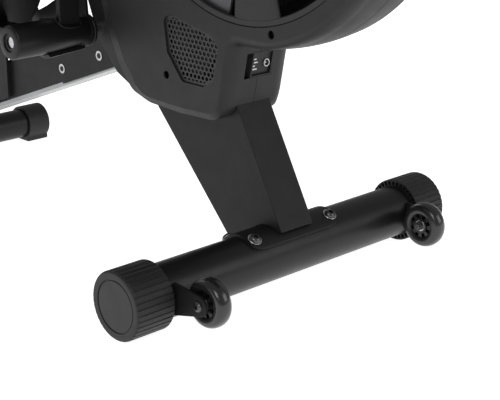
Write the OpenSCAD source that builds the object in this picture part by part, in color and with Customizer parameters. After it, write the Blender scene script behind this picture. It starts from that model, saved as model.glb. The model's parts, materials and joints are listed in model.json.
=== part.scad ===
// Rowing machine with an air fan, a magnetic brake and a folding seat rail.
// Units: millimetres. +Z is up, +Y runs from the fan to the rear foot, +X is on the left of a seated rower.
// Lengths along Y are given from the axis of the front stabiliser tube, heights from the floor.

/* [Front foot] */
// Overall width over the front end caps
front_w = 560; // [460:10:700]
// Radius of the front stabiliser tube
tube_r = 35; // [25:1:42]
// Radius of the front end caps, which stand on the floor
cap_r = 44; // [38:1:60]
// Length of one front end cap
cap_len = 56; // [40:1:70]
// Number of grip flutes round each front end cap
cap_flutes = 36; // [16:4:48]

/* [Transport wheels] */
// Tyre radius
wheel_r = 31; // [24:1:36]
// Tyre width
wheel_w = 23; // [16:1:28]
// Distance of each wheel's middle from the machine's centre
wheel_x = 198; // [120:1:200]
// Distance of the wheel axles in front of the tube axis
wheel_reach = 75.5; // [72:0.5:90]
// Height of the wheel axles above the tube axis
wheel_rise = 4.5; // [0:0.5:12]
// Radius of the wheel axle bolts
wheel_bolt_r = 4; // [3:0.5:5]

/* [Leg] */
// Width of the sheet metal leg
leg_w = 58; // [44:1:62]
// Length of the curved saddle plate
saddle_len = 158; // [120:2:200]
// Thickness of the saddle plate
saddle_t = 4; // [2:0.5:6]
// Distance of the saddle bolts from the centre
saddle_bolt_x = 69; // [50:1:75]

/* [Fan housing] */
// Height of the fan axis above the floor
fan_z = 568.5; // [540:0.5:640]
// Distance of the fan axis behind the tube axis
fan_y = 21; // [0:1:40]
// Radius of the housing's flat side
side_r = 250; // [235:1:280]
// Radius of the housing at its seam
crown_r = 257; // [240:1:290]
// Width of the housing over its raised side panels
housing_w = 110; // [104:1:140]
// Width of the housing's narrow base shell
base_w = 72; // [70:1:90]
// Wall of the housing shells
shell_t = 3; // [2:0.5:4]
// Outer radius of the fan guard ring
guard_r = 225; // [215:1:230]
// Number of guard spokes
guard_spokes = 5; // [3:1:8]
// Pitch of the vent holes
vent_pitch = 7.5; // [6:0.5:14]
// Diameter of the vent holes
vent_hole_d = 5.4; // [2:0.2:5.6]

/* [Drive] */
// Radius of the fan impeller
fan_r = 200; // [150:1:205]
// Number of fan blades
fan_blades = 20; // [8:1:32]
// Radius of the flywheel disc
flywheel_r = 165; // [120:1:170]
// Radius of the fan shaft
shaft_r = 8; // [6:0.5:10]
// Radius of the pulley on the fan shaft
fan_pulley_r = 24; // [20:1:30]
// Radius of the drive pulley beside the strap spool
drive_pulley_r = 52; // [36:1:56]
// Radius of the strap spool
spool_r = 30; // [20:1:34]
// Width of the handle strap
strap_w = 25; // [16:1:30]
// Thickness of the handle strap
strap_t = 2.2; // [1.5:0.1:3]
// Height of the strap exit above the floor
strap_z = 620; // [600:1:640]
// Radius of the strap's guide roller
idler_r = 12; // [8:1:16]

/* [Neck and lower beam] */
// Slope of the neck and lower beam, in degrees below level
beam_slope = 20.5; // [14:0.5:24]
// Height of the lower beam's section
beam_h = 64; // [50:1:70]
// Width of the lower beam's section
beam_w = 55; // [45:1:58]
// Thickness of the neck plates
neck_t = 4; // [3:0.5:6]
// Distance of the middle foot behind the tube axis
middle_y = 800; // [740:10:860]
// Length of the middle foot tube
middle_len = 360; // [260:10:460]

/* [Seat rail] */
// Length of the seat rail
rail_len = 1260; // [1000:10:1400]
// Height of the seat rail's running surface above the floor
rail_top = 285; // [270:1:330]
// Width of the seat rail
rail_w = 60; // [50:1:66]
// Height of the seat rail's section
rail_h = 70; // [60:1:80]
// Wall of the seat rail
rail_t = 4; // [3:0.5:6]
// Distance of the fold hinge behind the tube axis
hinge_y = 600; // [580:5:640]
// Radius of the fold hinge bolt
hinge_r = 7; // [5:0.5:9]
// Radius of the middle and rear foot tubes
foot_r = 25; // [20:1:30]
// Length of the rear foot tube
rear_len = 400; // [300:10:500]

/* [Seat] */
// Distance of the seat's middle behind the tube axis
seat_y = 1000; // [900:10:1200]
// Width of the seat cushion
seat_w = 300; // [240:5:360]
// Depth of the seat cushion, front to back
seat_d = 240; // [210:5:280]
// Thickness of the seat cushion
seat_t = 55; // [30:1:80]
// Radius of the seat rollers
roller_r = 15; // [12:1:20]

/* [Pedals] */
// Distance of the pedal axle behind the tube axis
pedal_y = 331; // [326:1:336]
// Height of the pedal axle above the floor
pedal_z = 294; // [290:1:298]
// Radius of the pedal axle
axle_r = 8; // [6:0.5:9]
// Inner side of each pedal, from the centre
pedal_in = 62; // [61:1:80]
// Width of a pedal
pedal_w = 124; // [100:2:150]
// Length of a footplate
footplate_len = 290; // [250:5:320]
// Width of the foot straps
foot_strap_w = 38; // [25:1:50]

/* [Handle and console] */
// Length of the handle
handle_w = 480; // [380:10:540]
// Radius of the handle bar
bar_r = 12.5; // [10:0.5:14]
// Radius of the handle grips
grip_r = 17; // [15:0.5:20]
// Width of the console
console_w = 210; // [150:5:260]
// Height of the console
console_h = 140; // [110:5:180]
// Thickness of the console
console_t = 28; // [24:1:40]
// Height of the console's tilt pin above the floor
console_z = 1085; // [1000:5:1150]

/* [Hidden] */
$fn = 48;
eps = 0.01;          // overshoot of a cut
run = 0.05;          // radial running clearance of a shaft in its bore
gap = 0.4;           // clearance between pieces that pass each other
tube_z = cap_r;      // the front caps stand on the floor
foot_cap_r = foot_r + 5;
foot_z = foot_cap_r;

// Whole machine along Y: from the front of the housing to the back of the rail's end cap.
rail_y0 = hinge_y - 25;
end_cap_t = 8;
front_y = fan_y - crown_r;
back_y = rail_y0 + rail_len + end_cap_t;
mid_y = (front_y + back_y) / 2;

// Front foot
tube_wall = 2.5;
cap_end_t = 7;
cap_disc_r = 32.5;
saddle_in_r = tube_r;
saddle_out_r = tube_r + saddle_t;
saddle_front_deg = 52;
saddle_rear_deg = 73;
saddle_bolt_r = 4.4;
front_bolt_deg = 27;
rear_bolt_deg = -54;

// Transport wheels
hub_r = wheel_r * 0.58;
bearing_r = 8.4;
wheel_z = tube_z + wheel_rise;
bracket_t = 4;
bracket_x = wheel_x + wheel_w / 2 + 3;

// Leg: side outline as [y, z], front edge first.
leg_front_low = [-26, tube_z + 35.5];
leg_back_low = [74.6, tube_z + 6.6];
leg_front_top = [93, 300];
leg_back_top = [262, 300];
leg_back_mid = [219, 207];
leg_wall = 3;

// Housing: outlines of the raised side panel and of the narrow base shell as [y, z].
side_x = housing_w / 2;
base_x = base_w / 2;
panel_pts = [
  [fan_y, fan_z], [45, fan_z - side_r + 2], [54, 280], [66, 230], [89, 213], [199, 219], [239, 230],
  [264, 247], [290, 296], [305, 338], [332, 400], [348, 480], [345, 570], [318, 660], [270, 738], [200, 788],
  [fan_y + side_r * cos(69), fan_z + side_r * sin(69)]
];
base_pts = [
  [fan_y, fan_z], [36, 330], [40, 298], [54, 239], [76, 222], [262, 221], [294, 236], [336, 284], [368, 360],
  [385, 450], [385, 600], [372, 668], [330, 740], [260, 790], [180, 806], [100, 800]
];
inlet_top = [40, 298];
inlet_low = [54, 239];
inlet_depth = 6;
inlet_x = [-13, 24];
inlet_z = [266, 300];
jack_x = 14;
jack_r = 5;
vent_pts = [
  [168, 334], [150, 340], [76, 323], [62, 310], [73, 264], [92, 254], [133, 254], [162, 289]
];
vent_depth = 3;
vent_t = 2;
screw_holes = [[164, 258], [-31, 340], [300, 380], [322, 560], [-154, 724], [62, 799]];
screw_r = 5;
guard_in_r = guard_r - 9;
guard_t = 6;
guard_hub_r = 42;
spoke_deg = 22;
spoke_first_deg = -97;

// Drive, behind the guards: X stations of the pieces on the fan shaft and the spool shaft.
spool_y = 258;
spool_z = 640;
plate_x = 43;
plate_t = 4;
flywheel_x = 18;
flywheel_t = 6;
pulley_x = 31;
pulley_w = 10;
impeller_x = 38;
belt_t = 2.5;
idler_y = 348;
idler_z = strap_z - idler_r - strap_t / 2 - gap;
spool_flange_r = spool_r + 11;
wound_r = spool_r + 6;
yoke_pivot = [fan_y + (fan_r + 3) * cos(-52), fan_z + (fan_r + 3) * sin(-52)];
yoke_pin_r = 4;
yoke_gap = 1.5;

// Neck and lower beam: the slope of its lower edge passes through one point under the housing.
beam_low = [314, 234.8];
neck_y0 = 225;
neck_y1 = 428;
neck_bolt_y = [339, 429];
plate_edge = 3;      // height of the bare edge under the neck plates
beam_edge = 6;       // height of the bare edge under the side strips
ear_r = 20;

// Rail hinge and lock
hinge_z = rail_top - rail_h / 2;
lock_y = hinge_y + 40;
lock_r = 4;
fold_deg = 75;
bracket_gap = 3;
rail_x = rail_w / 2;
rail_low = rail_top - rail_h;
rear_foot_y = back_y - end_cap_t - 45;

// Seat
carriage_len = 190;
carriage_plate_t = 4;
carriage_x = rail_x + 3;
roller_z = rail_top + roller_r + gap;
plate_z = roller_z + roller_r + 2;
roller_span = 65;
roller_x = [14, 26];
roller_axle_r = 4;

// Pedals: a footplate leaning forward, seen from the side as [y, z].
footplate_mid = [385, 415];
footplate_deg = 57;
footplate_t = 12;
pedal_x = pedal_in + pedal_w / 2;
pedal_body_r = 21;
pedal_flange_r = 23;
body_reach = 8;      // the pedal's round body starts this far inside its footplate
arm_w = 34;
arm_out = 33;        // from the footplate's inner side to the middle of the front arm
arm_y = pedal_y - 14;
arm_low = pedal_z + 9;

// Handle, mast and console
bar_y = 415;
mast_deg = 7;
mast_w = 44;
mast_d = 28;
mast_wall = 2.5;
console_y = 300;
console_pin_r = 4;
console_lug_r = 12;
console_deg = 20;    // lean of the screen back from upright
console_gap = 15.5;  // from the tilt pin to the back of the case
knob_drop = 190;     // distance of the resistance knob below the console pin
button_r = 8;
button_x = 62;
button_travel = 1.5;

// Height of the beam's middle line at a distance y.
function beam_mid(y) = beam_low[1] + beam_h / 2 / cos(beam_slope) - (y - beam_low[0]) * tan(beam_slope);
// Point on the mast's middle line, a distance s below the console pin.
function mast_at(s) = [console_y - s * sin(mast_deg), console_z - s * cos(mast_deg)];
// Distance and direction between two [y, z] points.
function away(a, b) = norm(b - a);
function bearing(a, b) = atan2(b[1] - a[1], b[0] - a[0]);

// Where two lines cross, each given by a point and a direction.
function cross_at(p, u, q, v) = p + u * ((q - p)[0] * v[1] - (q - p)[1] * v[0]) / (u[0] * v[1] - u[1] * v[0]);
function unit(v) = v / norm(v);
// Outline drawn counter-clockwise, moved inwards by d with its corners kept sharp.
function inset(p, d) = [
  for (i = [0 : len(p) - 1])
    let (a = p[(i + len(p) - 1) % len(p)], b = p[i], c = p[(i + 1) % len(p)])
    let (u = unit(b - a), v = unit(c - b))
    cross_at(b + d * [-u[1], u[0]], u, b + d * [-v[1], v[0]], v)
];

// Extrudes a [y, z] outline from x0 to x1.
module along_x(x0, x1) translate([x0, 0, 0]) rotate([90, 0, 90]) linear_extrude(x1 - x0) children();

// Round bar along X between x0 and x1, through the point [y, z].
module x_bar(p, r, x0, x1, n = 48) translate([x0, p[0], p[1]]) rotate([0, 90, 0]) cylinder(r = r, h = x1 - x0, $fn = n);

// A child and its mirror image on the other side of the machine.
module both_sides() {
  children();
  mirror([1, 0, 0]) children();
}

// Turns a child that was drawn about the origin and sets it at [y, z].
module set_at(p, deg) translate([0, p[0], p[1]]) rotate([deg, 0, 0]) children();

// Whole ring about the X axis through p.
module ring_x(p, r_in, r_out, x0, x1) difference() {
  x_bar(p, r_out, x0, x1, 96);
  x_bar(p, r_in, x0 - eps, x1 + eps, 96);
}

// ---- front foot ----

module front_tube() color("#242425") {
  half = front_w / 2 - cap_end_t;
  difference() {
    ring_x([0, tube_z], tube_r - tube_wall, tube_r, -half, half);
    at_saddle_bolts() cylinder(r = saddle_bolt_r + 0.1, h = 60);
  }
}

// One end cap on the right: a cup over the tube's end with flutes round it.
module front_cap() {
  x1 = front_w / 2;
  difference() {
    x_bar([0, tube_z], cap_r, x1 - cap_len, x1, 96);
    x_bar([0, tube_z], tube_r, x1 - cap_len - eps, x1 - cap_end_t, 96);
    x_bar([0, tube_z], cap_disc_r, x1 - 1, x1 + eps, 96);
    for (i = [0 : cap_flutes - 1]) set_at([0, tube_z], (i + 0.5) * 360 / cap_flutes)
      x_bar([0, cap_r + 0.8], 1.6, x1 - cap_len + 3, x1 - 3, 16);
    for (i = [0 : cap_flutes - 1]) set_at([0, tube_z], i * 360 / cap_flutes)
      x_bar([0, (cap_r + tube_r) / 2], 2.4, x1 - cap_len - eps, x1 - cap_len + 8, 16);
  }
}
module front_caps() color("#3b3b3c") both_sides() front_cap();

module wheel_bracket() {
  difference() {
    along_x(bracket_x, bracket_x + bracket_t) union() {
      translate([-wheel_reach, wheel_z]) circle(13);
      polygon([[-wheel_reach, wheel_z + 13], [-tube_r + 4, tube_z + 22], [-tube_r + 4, tube_z - 20],
               [-wheel_reach, wheel_z - 13]]);
    }
    x_bar([0, tube_z], tube_r, bracket_x - 1, bracket_x + bracket_t + 1, 96);
    x_bar([-wheel_reach, wheel_z], wheel_bolt_r, bracket_x - 1, bracket_x + bracket_t + 1);
  }
}
module wheel_brackets() color("#2b2b2c") both_sides() wheel_bracket();

// Axle bolt with its head outside the bracket and a nut inside the wheel.
module wheel_bolt() {
  inner = wheel_x - wheel_w / 2 - 2;
  x_bar([-wheel_reach, wheel_z], wheel_bolt_r, inner - 7, bracket_x + bracket_t + 1);
  x_bar([-wheel_reach, wheel_z], 7, bracket_x + bracket_t, bracket_x + bracket_t + 4);
  x_bar([-wheel_reach, wheel_z], 7.5, inner - 6, inner, 6);
}
module wheel_bolts() color("#9a9a9c") both_sides() wheel_bolt();

// Tyre with a rounded tread: a turned profile about the axle.
module tyre(side) translate([side * wheel_x, -wheel_reach, wheel_z]) rotate([0, 90, 0])
  rotate_extrude($fn = 96) union() {
    translate([hub_r, -wheel_w / 2 + 2]) square([2, wheel_w - 4]);
    intersection() {
      translate([wheel_r - wheel_w * 0.6, 0]) circle(wheel_w * 0.6);
      translate([hub_r + 1, -wheel_w / 2]) square([wheel_r - hub_r, wheel_w]);
    }
  }
// Spoked hub with a bearing in its middle.
module hub(side) translate([side * wheel_x, 0, 0]) {
  p = [-wheel_reach, wheel_z];
  difference() {
    x_bar(p, hub_r, -wheel_w / 2 + 3, wheel_w / 2 - 3, 96);
    x_bar(p, bearing_r, -wheel_w, wheel_w);
    for (i = [0 : 7]) set_at(p, i * 45) x_bar([0, (bearing_r + hub_r) / 2], 2.4, -wheel_w, wheel_w, 24);
  }
  ring_x(p, wheel_bolt_r + run, bearing_r, -wheel_w / 2 + 1, wheel_w / 2 - 1);
}
module left_tyre() color("#1d1d1e") tyre(-1);
module right_tyre() color("#1d1d1e") tyre(1);
module left_hub() color("#3a3a3c") hub(-1);
module right_hub() color("#3a3a3c") hub(1);

// Curved plate on top of the tube that the leg is welded to.
module saddle_plate() color("#2f2f30") difference() {
  intersection() {
    ring_x([0, tube_z], saddle_in_r, saddle_out_r, -saddle_len / 2, saddle_len / 2);
    along_x(-saddle_len, saddle_len) translate([0, tube_z])
      polygon([[0, 0], 2 * tube_r * [sin(saddle_rear_deg), cos(saddle_rear_deg)], [0, 3 * tube_r],
               2 * tube_r * [-sin(saddle_front_deg), cos(saddle_front_deg)]]);
  }
  at_saddle_bolts() cylinder(r = saddle_bolt_r + 0.1, h = 60);
}
// The four saddle bolt axes, each pointing out of the tube's axis.
module at_saddle_bolts() for (x = [-1, 1], a = [front_bolt_deg, rear_bolt_deg])
  translate([x * saddle_bolt_x, 0, tube_z]) rotate([a, 0, 0]) children();
module saddle_bolts() color("#8e8e90") at_saddle_bolts() difference() {
  union() {
    translate([0, 0, tube_r - tube_wall - 6]) cylinder(r = saddle_bolt_r, h = saddle_t + tube_wall + 6);
    translate([0, 0, saddle_out_r]) cylinder(r = 9, h = 1.6);
    translate([0, 0, saddle_out_r + 1.6]) cylinder(r1 = 7, r2 = 4.5, h = 4);
  }
  translate([0, 0, saddle_out_r + 3]) cylinder(r = 2.9, h = 4, $fn = 6);
}

module leg_outline(d) polygon(inset([leg_front_low, leg_back_low, leg_back_mid, leg_back_top, leg_front_top], d));
module leg_post() color("#2e2e2f") difference() {
  along_x(-leg_w / 2, leg_w / 2) leg_outline(0);
  along_x(-leg_w / 2 + leg_wall, leg_w / 2 - leg_wall) leg_outline(leg_wall);
  x_bar([0, tube_z], saddle_out_r, -leg_w, leg_w, 96);
  neck_solid(gap, beam_h / 2 + gap);
}

// ---- housing ----

// Turned barrel round the fan: crowned at the seam, rounded into the flat side.
module barrel(d) translate([0, fan_y, fan_z]) rotate([0, 90, 0]) rotate_extrude($fn = 144) polygon([
  [0, -side_x + d], [side_r - 8 - d, -side_x + d], [side_r - 2 - d, -side_x + 3 + d],
  [side_r + 1 - d, -side_x + 9 + d], [crown_r - 2 - d, -side_x / 2], [crown_r - d, 0],
  [crown_r - 2 - d, side_x / 2], [side_r + 1 - d, side_x - 9 - d], [side_r - 2 - d, side_x - 3 - d],
  [side_r - 8 - d, side_x - d], [0, side_x - d]
]);
module housing_body(d) {
  barrel(d);
  along_x(-side_x + d, side_x - d) polygon(inset(panel_pts, d));
  along_x(-base_x + d, base_x - d) polygon(inset(base_pts, d));
}

// Ledge on each shell that carries the handle at rest, as [y, z].
ledge_pts = [[380, strap_z - 60], [bar_y + 14, strap_z - bar_r - 10], [bar_y + 14, strap_z - bar_r - 1],
             [380, strap_z - bar_r - 1]];
ledge_x = [23, 33];

// Everything that passes through the housing's walls.
module housing_cuts() {
  along_x(-leg_w / 2 - gap, leg_w / 2 + gap) leg_outline(-gap);
  neck_solid(gap, beam_h / 2 + gap);
  x_bar([fan_y, fan_z], guard_r, -side_x - 1, side_x + 1, 144);
  along_x(-side_x - 1, side_x + 1) polygon(vent_pts);
  along_x(-strap_w / 2 - 4, strap_w / 2 + 4) translate([360, strap_z - 6]) square([60, 12]);
  x_bar([pedal_y, pedal_z], axle_r, -side_x, side_x);
  x_bar([pedal_y, pedal_z], ear_r + gap, -beam_w / 2 - neck_t - gap, beam_w / 2 + neck_t + gap);
  mast_bar(mast_w + 2 * gap, mast_d + 2 * gap, console_z - 690, 230);
  inlet_block(0);
  for (p = screw_holes) x_bar(p, screw_r, -side_x - 1, side_x + 1, 24);
}
module housing_half(side) difference() {
  union() {
    difference() {
      housing_body(0);
      difference() {
        housing_body(shell_t);
        for (p = screw_holes) x_bar(p, screw_r + 3, -side_x, side_x, 24);
      }
    }
    for (s = [-1, 1]) translate([s * (ledge_x[0] + ledge_x[1]) / 2, 0, 0])
      along_x(-5, 5) polygon(ledge_pts);
  }
  housing_cuts();
  translate([side > 0 ? -300 : 0, -300, 0]) cube([300, 900, 1000]);
}
module housing_left() color("#38383a") housing_half(-1);
module housing_right() color("#38383a") housing_half(1);

// Guard over one fan opening: a ring, a hub and tapered spokes.
module fan_guard() along_x(side_x - guard_t, side_x) translate([fan_y, fan_z]) {
  difference() {
    circle(guard_r, $fn = 144);
    circle(guard_in_r, $fn = 144);
  }
  circle(guard_hub_r);
  for (i = [0 : guard_spokes - 1]) rotate(spoke_first_deg + i * 360 / guard_spokes)
    polygon([[guard_hub_r - 4, -12], [guard_in_r + 2, -guard_in_r * sin(spoke_deg / 2)],
             [guard_in_r + 2, guard_in_r * sin(spoke_deg / 2)], [guard_hub_r - 4, 12]]);
}
module fan_guards() color("#333335") both_sides() fan_guard();

// Perforated plate behind one vent window.
module vent_grille() along_x(side_x - vent_depth - vent_t, side_x - vent_depth) difference() {
  polygon(inset(vent_pts, 0.2));
  row_h = vent_pitch * sqrt(3) / 2;
  intersection() {
    polygon(inset(vent_pts, 4));
    for (j = [0 : 13], i = [0 : 17])
      translate([62 + (i + (j % 2) / 2) * vent_pitch, 258 + j * row_h]) circle(d = vent_hole_d, $fn = 16);
  }
}
module vent_grilles() color("#4a4a4c") both_sides() vent_grille();

// Block in the front wall round the power inlet; d shrinks it all round.
module inlet_block(d) along_x(inlet_x[0] + d, inlet_x[1] - d)
  polygon([[34, inlet_z[0] + d], [54 + inlet_depth, inlet_z[0] + d], [54 + inlet_depth, inlet_z[1] - d],
           [34, inlet_z[1] - d]]);
module inlet_panel() color("#303032") difference() {
  inlet_block(0.1);
  along_x(inlet_x[0] - 1, inlet_x[1] + 1)
    polygon([[20, 250], [inlet_low[0] - 1, 250], [inlet_top[0] - 1, 310], [20, 310]]);
  along_x(inlet_x[0] + 2, inlet_x[1] - 2)
    polygon([[30, inlet_z[0] + 2], [46 + inlet_depth, inlet_z[0] + 2], [39 + inlet_depth, inlet_z[1] - 2],
             [30, inlet_z[1] - 2]]);
  translate([jack_x, 30, (inlet_z[0] + inlet_z[1]) / 2]) rotate([-90, 0, 0]) cylinder(r = jack_r, h = 60);
}
module dc_jack() color("#8e8e90") translate([jack_x, 0, (inlet_z[0] + inlet_z[1]) / 2]) rotate([-90, 0, 0]) {
  difference() {
    translate([0, 0, 46]) cylinder(r = jack_r, h = 20);
    translate([0, 0, 45]) cylinder(r = jack_r - 1, h = 16);
  }
  translate([0, 0, 48]) cylinder(r = 1, h = 14);
}

module housing_screws() color("#1a1a1b") both_sides() for (p = screw_holes) difference() {
  x_bar(p, screw_r, leg_w / 2 + 1, side_x - 6, 24);
  x_bar(p, 1.6, side_x - 9, side_x, 6);
}

// ---- inside the housing ----

// Side plate that carries the fan shaft, the spool shaft and the brake.
module frame_plate() difference() {
  along_x(plate_x, plate_x + plate_t) union() {
    translate([fan_y, fan_z]) circle(26);
    polygon([[fan_y - 26, fan_z], [60, 320], [100, 268], [210, 268], [spool_y + 22, spool_z],
             [spool_y - 22, spool_z], [120, 370], [fan_y + 26, fan_z]]);
    translate([spool_y, spool_z]) circle(22);
  }
  x_bar([fan_y, fan_z], 16, 0, side_x);
  x_bar([spool_y, spool_z], 16, 0, side_x);
  x_bar(yoke_pivot, yoke_pin_r + run, 0, side_x);
}
module inner_frame() color("#5a5a5e") {
  both_sides() frame_plate();
  both_sides() difference() {
    along_x(leg_w / 2, plate_x) polygon([[110, 268], [206, 268], [206, 300], [110, 300]]);
    neck_solid(gap, beam_h / 2 + gap);
  }
  both_sides() x_bar([idler_y, idler_z], 4, strap_w / 2 + 3 + gap, base_x - shell_t);
  x_bar([idler_y, idler_z], 4, -strap_w / 2 - 4, strap_w / 2 + 4);
}
module shaft_bearings() color("#b9b9bd") both_sides() {
  ring_x([fan_y, fan_z], shaft_r + run, 16, plate_x - 1, plate_x + plate_t);
  ring_x([spool_y, spool_z], shaft_r + run, 16, plate_x - 1, plate_x + plate_t);
}

module fan_impeller() color("#1f1f20") {
  difference() {
    union() {
      x_bar([fan_y, fan_z], fan_r, -15, -13, 96);
      x_bar([fan_y, fan_z], 30, -30, 12);
      for (i = [0 : fan_blades - 1]) set_at([fan_y, fan_z], i * 360 / fan_blades)
        translate([-impeller_x, -1, 90]) cube([impeller_x + 10, 2, fan_r - 90 - 1]);
    }
    x_bar([fan_y, fan_z], shaft_r, -50, 50);
  }
}
module flywheel() color("#a7a7ab") ring_x([fan_y, fan_z], shaft_r, flywheel_r, flywheel_x, flywheel_x + flywheel_t);
module fan_shaft() color("#c0c0c4") x_bar([fan_y, fan_z], shaft_r, -plate_x - plate_t - 1, plate_x + plate_t + 1);
// Pulley on a one-way clutch that lets the fan run on.
module fan_pulley() color("#8b8b90") difference() {
  x_bar([fan_y, fan_z], fan_pulley_r - belt_t, pulley_x, pulley_x + pulley_w);
  x_bar([fan_y, fan_z], shaft_r + run, pulley_x - 1, pulley_x + pulley_w + 1);
}

// Outline of the belt as the common tangent loop of two circles.
module belt_loop(grow) {
  a = [fan_y, fan_z];
  b = [spool_y, spool_z];
  ra = fan_pulley_r - belt_t + grow;
  rb = drive_pulley_r - belt_t + grow;
  t = bearing(a, b) + 90;
  s = acos((ra - rb) / away(a, b)) - 90;
  translate(a) circle(ra);
  translate(b) circle(rb);
  polygon([a + ra * [cos(t - s), sin(t - s)], a - ra * [cos(t + s), sin(t + s)],
           b - rb * [cos(t + s), sin(t + s)], b + rb * [cos(t - s), sin(t - s)]]);
}
module drive_belt() color("#161617") along_x(pulley_x + 1, pulley_x + pulley_w - 1) difference() {
  belt_loop(belt_t);
  belt_loop(0.35);
}
module drive_spool() color("#8b8b90") {
  p = [spool_y, spool_z];
  x_bar(p, shaft_r, -plate_x - plate_t - 1, plate_x + plate_t + 1);
  ring_x(p, shaft_r, spool_r, -strap_w / 2 - 1, strap_w / 2 + 1);
  ring_x(p, shaft_r, spool_flange_r, -strap_w / 2 - 4, -strap_w / 2 - 1);
  ring_x(p, shaft_r, spool_flange_r, strap_w / 2 + 1, strap_w / 2 + 4);
  ring_x(p, shaft_r, drive_pulley_r - belt_t, pulley_x, pulley_x + pulley_w);
}
// Flat spiral spring that winds the strap back, in a cup beside the spool.
spring_turns = 5;
spring_t = 0.8;
function spiral(r0, r1, n) = [for (i = [0 : n]) let (a = 360 * spring_turns * i / n, r = r0 + (r1 - r0) * i / n)
  r * [cos(a), sin(a)]];
module recoil_spring() color("#7a7a80") along_x(-plate_x + 6, -plate_x + 20) translate([spool_y, spool_z])
  polygon(concat(spiral(shaft_r + 2, 34, 120), [for (i = [120 : -1 : 0]) spiral(shaft_r + 2 + spring_t, 34 + spring_t, 120)[i]]));

module idler_roller() color("#c9c9cc") difference() {
  union() {
    x_bar([idler_y, idler_z], idler_r, -strap_w / 2 - 1, strap_w / 2 + 1);
    both_sides() x_bar([idler_y, idler_z], idler_r + 3, strap_w / 2 + 1, strap_w / 2 + 3);
  }
  x_bar([idler_y, idler_z], 4 + run, -40, 40);
}

// Magnet carrier that swings over the flywheel's rim.
module brake_yoke() color("#6b6b70") {
  cheek = 3;
  x0 = flywheel_x - yoke_gap - cheek;
  x1 = flywheel_x + flywheel_t + yoke_gap;
  for (x = [x0, x1]) along_x(x, x + cheek) set_yoke() yoke_outline();
  along_x(x0, x1 + cheek) set_yoke() intersection() {
    yoke_outline();
    translate([-60, -60]) square([120, 200]);
    translate(yoke_to_fan) difference() { circle(300); circle(flywheel_r + 5, $fn = 96); }
  }
  x_bar(yoke_pivot, yoke_pin_r, x0, plate_x + plate_t);
}
yoke_to_fan = [fan_y, fan_z] - yoke_pivot;
module set_yoke() translate(yoke_pivot) children();
module yoke_outline() polygon([[-8, -8], [10, -6], [44, 60], [34, 96], [4, 92], [-10, 40]]);

// ---- neck, beam and middle foot ----

// Sloping bar along the beam's line between two y stations; lo and hi are its edges from the middle line.
module beam_bar(x0, x1, y0, y1, lo, hi) along_x(x0, x1) polygon([
  [y0, beam_mid(y0) + lo / cos(beam_slope)], [y1, beam_mid(y1) + lo / cos(beam_slope)],
  [y1, beam_mid(y1) + hi / cos(beam_slope)], [y0, beam_mid(y0) + hi / cos(beam_slope)]
]);
module neck_solid(d, h) beam_bar(-beam_w / 2 - neck_t - d, beam_w / 2 + neck_t + d, neck_y0 - d, neck_y1, -h, h);
module neck_plates() color("#2d2d2f") both_sides() difference() {
  union() {
    beam_bar(beam_w / 2, beam_w / 2 + neck_t, neck_y0, neck_y1, -beam_h / 2 + plate_edge, beam_h / 2);
    x_bar([pedal_y, pedal_z], ear_r, beam_w / 2, beam_w / 2 + neck_t);
    beam_bar(beam_w / 2, beam_w / 2 + 2, neck_y1, middle_y - 20, -beam_h / 2 + beam_edge, beam_h / 2);
  }
  x_bar([pedal_y, pedal_z], axle_r, 0, 60);
  for (y = neck_bolt_y) x_bar([y, beam_mid(y) - 8], 4, 0, 60);
  for (y = neck_bolt_y) x_bar([y, beam_mid(y) - 8], 7, beam_w / 2 + neck_t - 2, 60);
}
module neck_bolts() color("#a5a5a8") both_sides() for (y = neck_bolt_y) difference() {
  union() {
    x_bar([y, beam_mid(y) - 8], 4, beam_w / 2 - 8, beam_w / 2 + neck_t - 2);
    x_bar([y, beam_mid(y) - 8], 7, beam_w / 2 + neck_t - 2, beam_w / 2 + neck_t);
  }
  x_bar([y, beam_mid(y) - 8], 3.2, beam_w / 2 + neck_t - 1.5, 60, 6);
}
module lower_beam() color("#c4c4c8") difference() {
  wall = 3;
  beam_bar(-beam_w / 2, beam_w / 2, neck_y0, middle_y, -beam_h / 2, beam_h / 2);
  beam_bar(-beam_w / 2 + wall, beam_w / 2 - wall, neck_y0 - 1, middle_y + 1, -beam_h / 2 + wall, beam_h / 2 - wall);
  x_bar([pedal_y, pedal_z], axle_r + 1, -60, 60);
  for (y = neck_bolt_y) x_bar([y, beam_mid(y) - 8], 4, -60, 60);
  x_bar([middle_y - 4, foot_z], foot_r, -60, 60);
}
module middle_foot() color("#242425") {
  ring_x([middle_y - 4, foot_z], foot_r - 2.5, foot_r, -middle_len / 2 + 6, middle_len / 2 - 6);
}
// End cap of a middle or rear foot: a cup with a flat sole.
module foot_cap(y, len) difference() {
  along_x(len / 2 - 42, len / 2) union() {
    translate([y, foot_z]) circle(foot_cap_r);
    translate([y - foot_cap_r * 0.7, 0]) square([foot_cap_r * 1.4, foot_z]);
  }
  x_bar([y, foot_z], foot_r, 0, len / 2 - 6);
}
module middle_foot_caps() color("#3b3b3c") both_sides() foot_cap(middle_y - 4, middle_len);

// ---- folding seat rail ----

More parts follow.
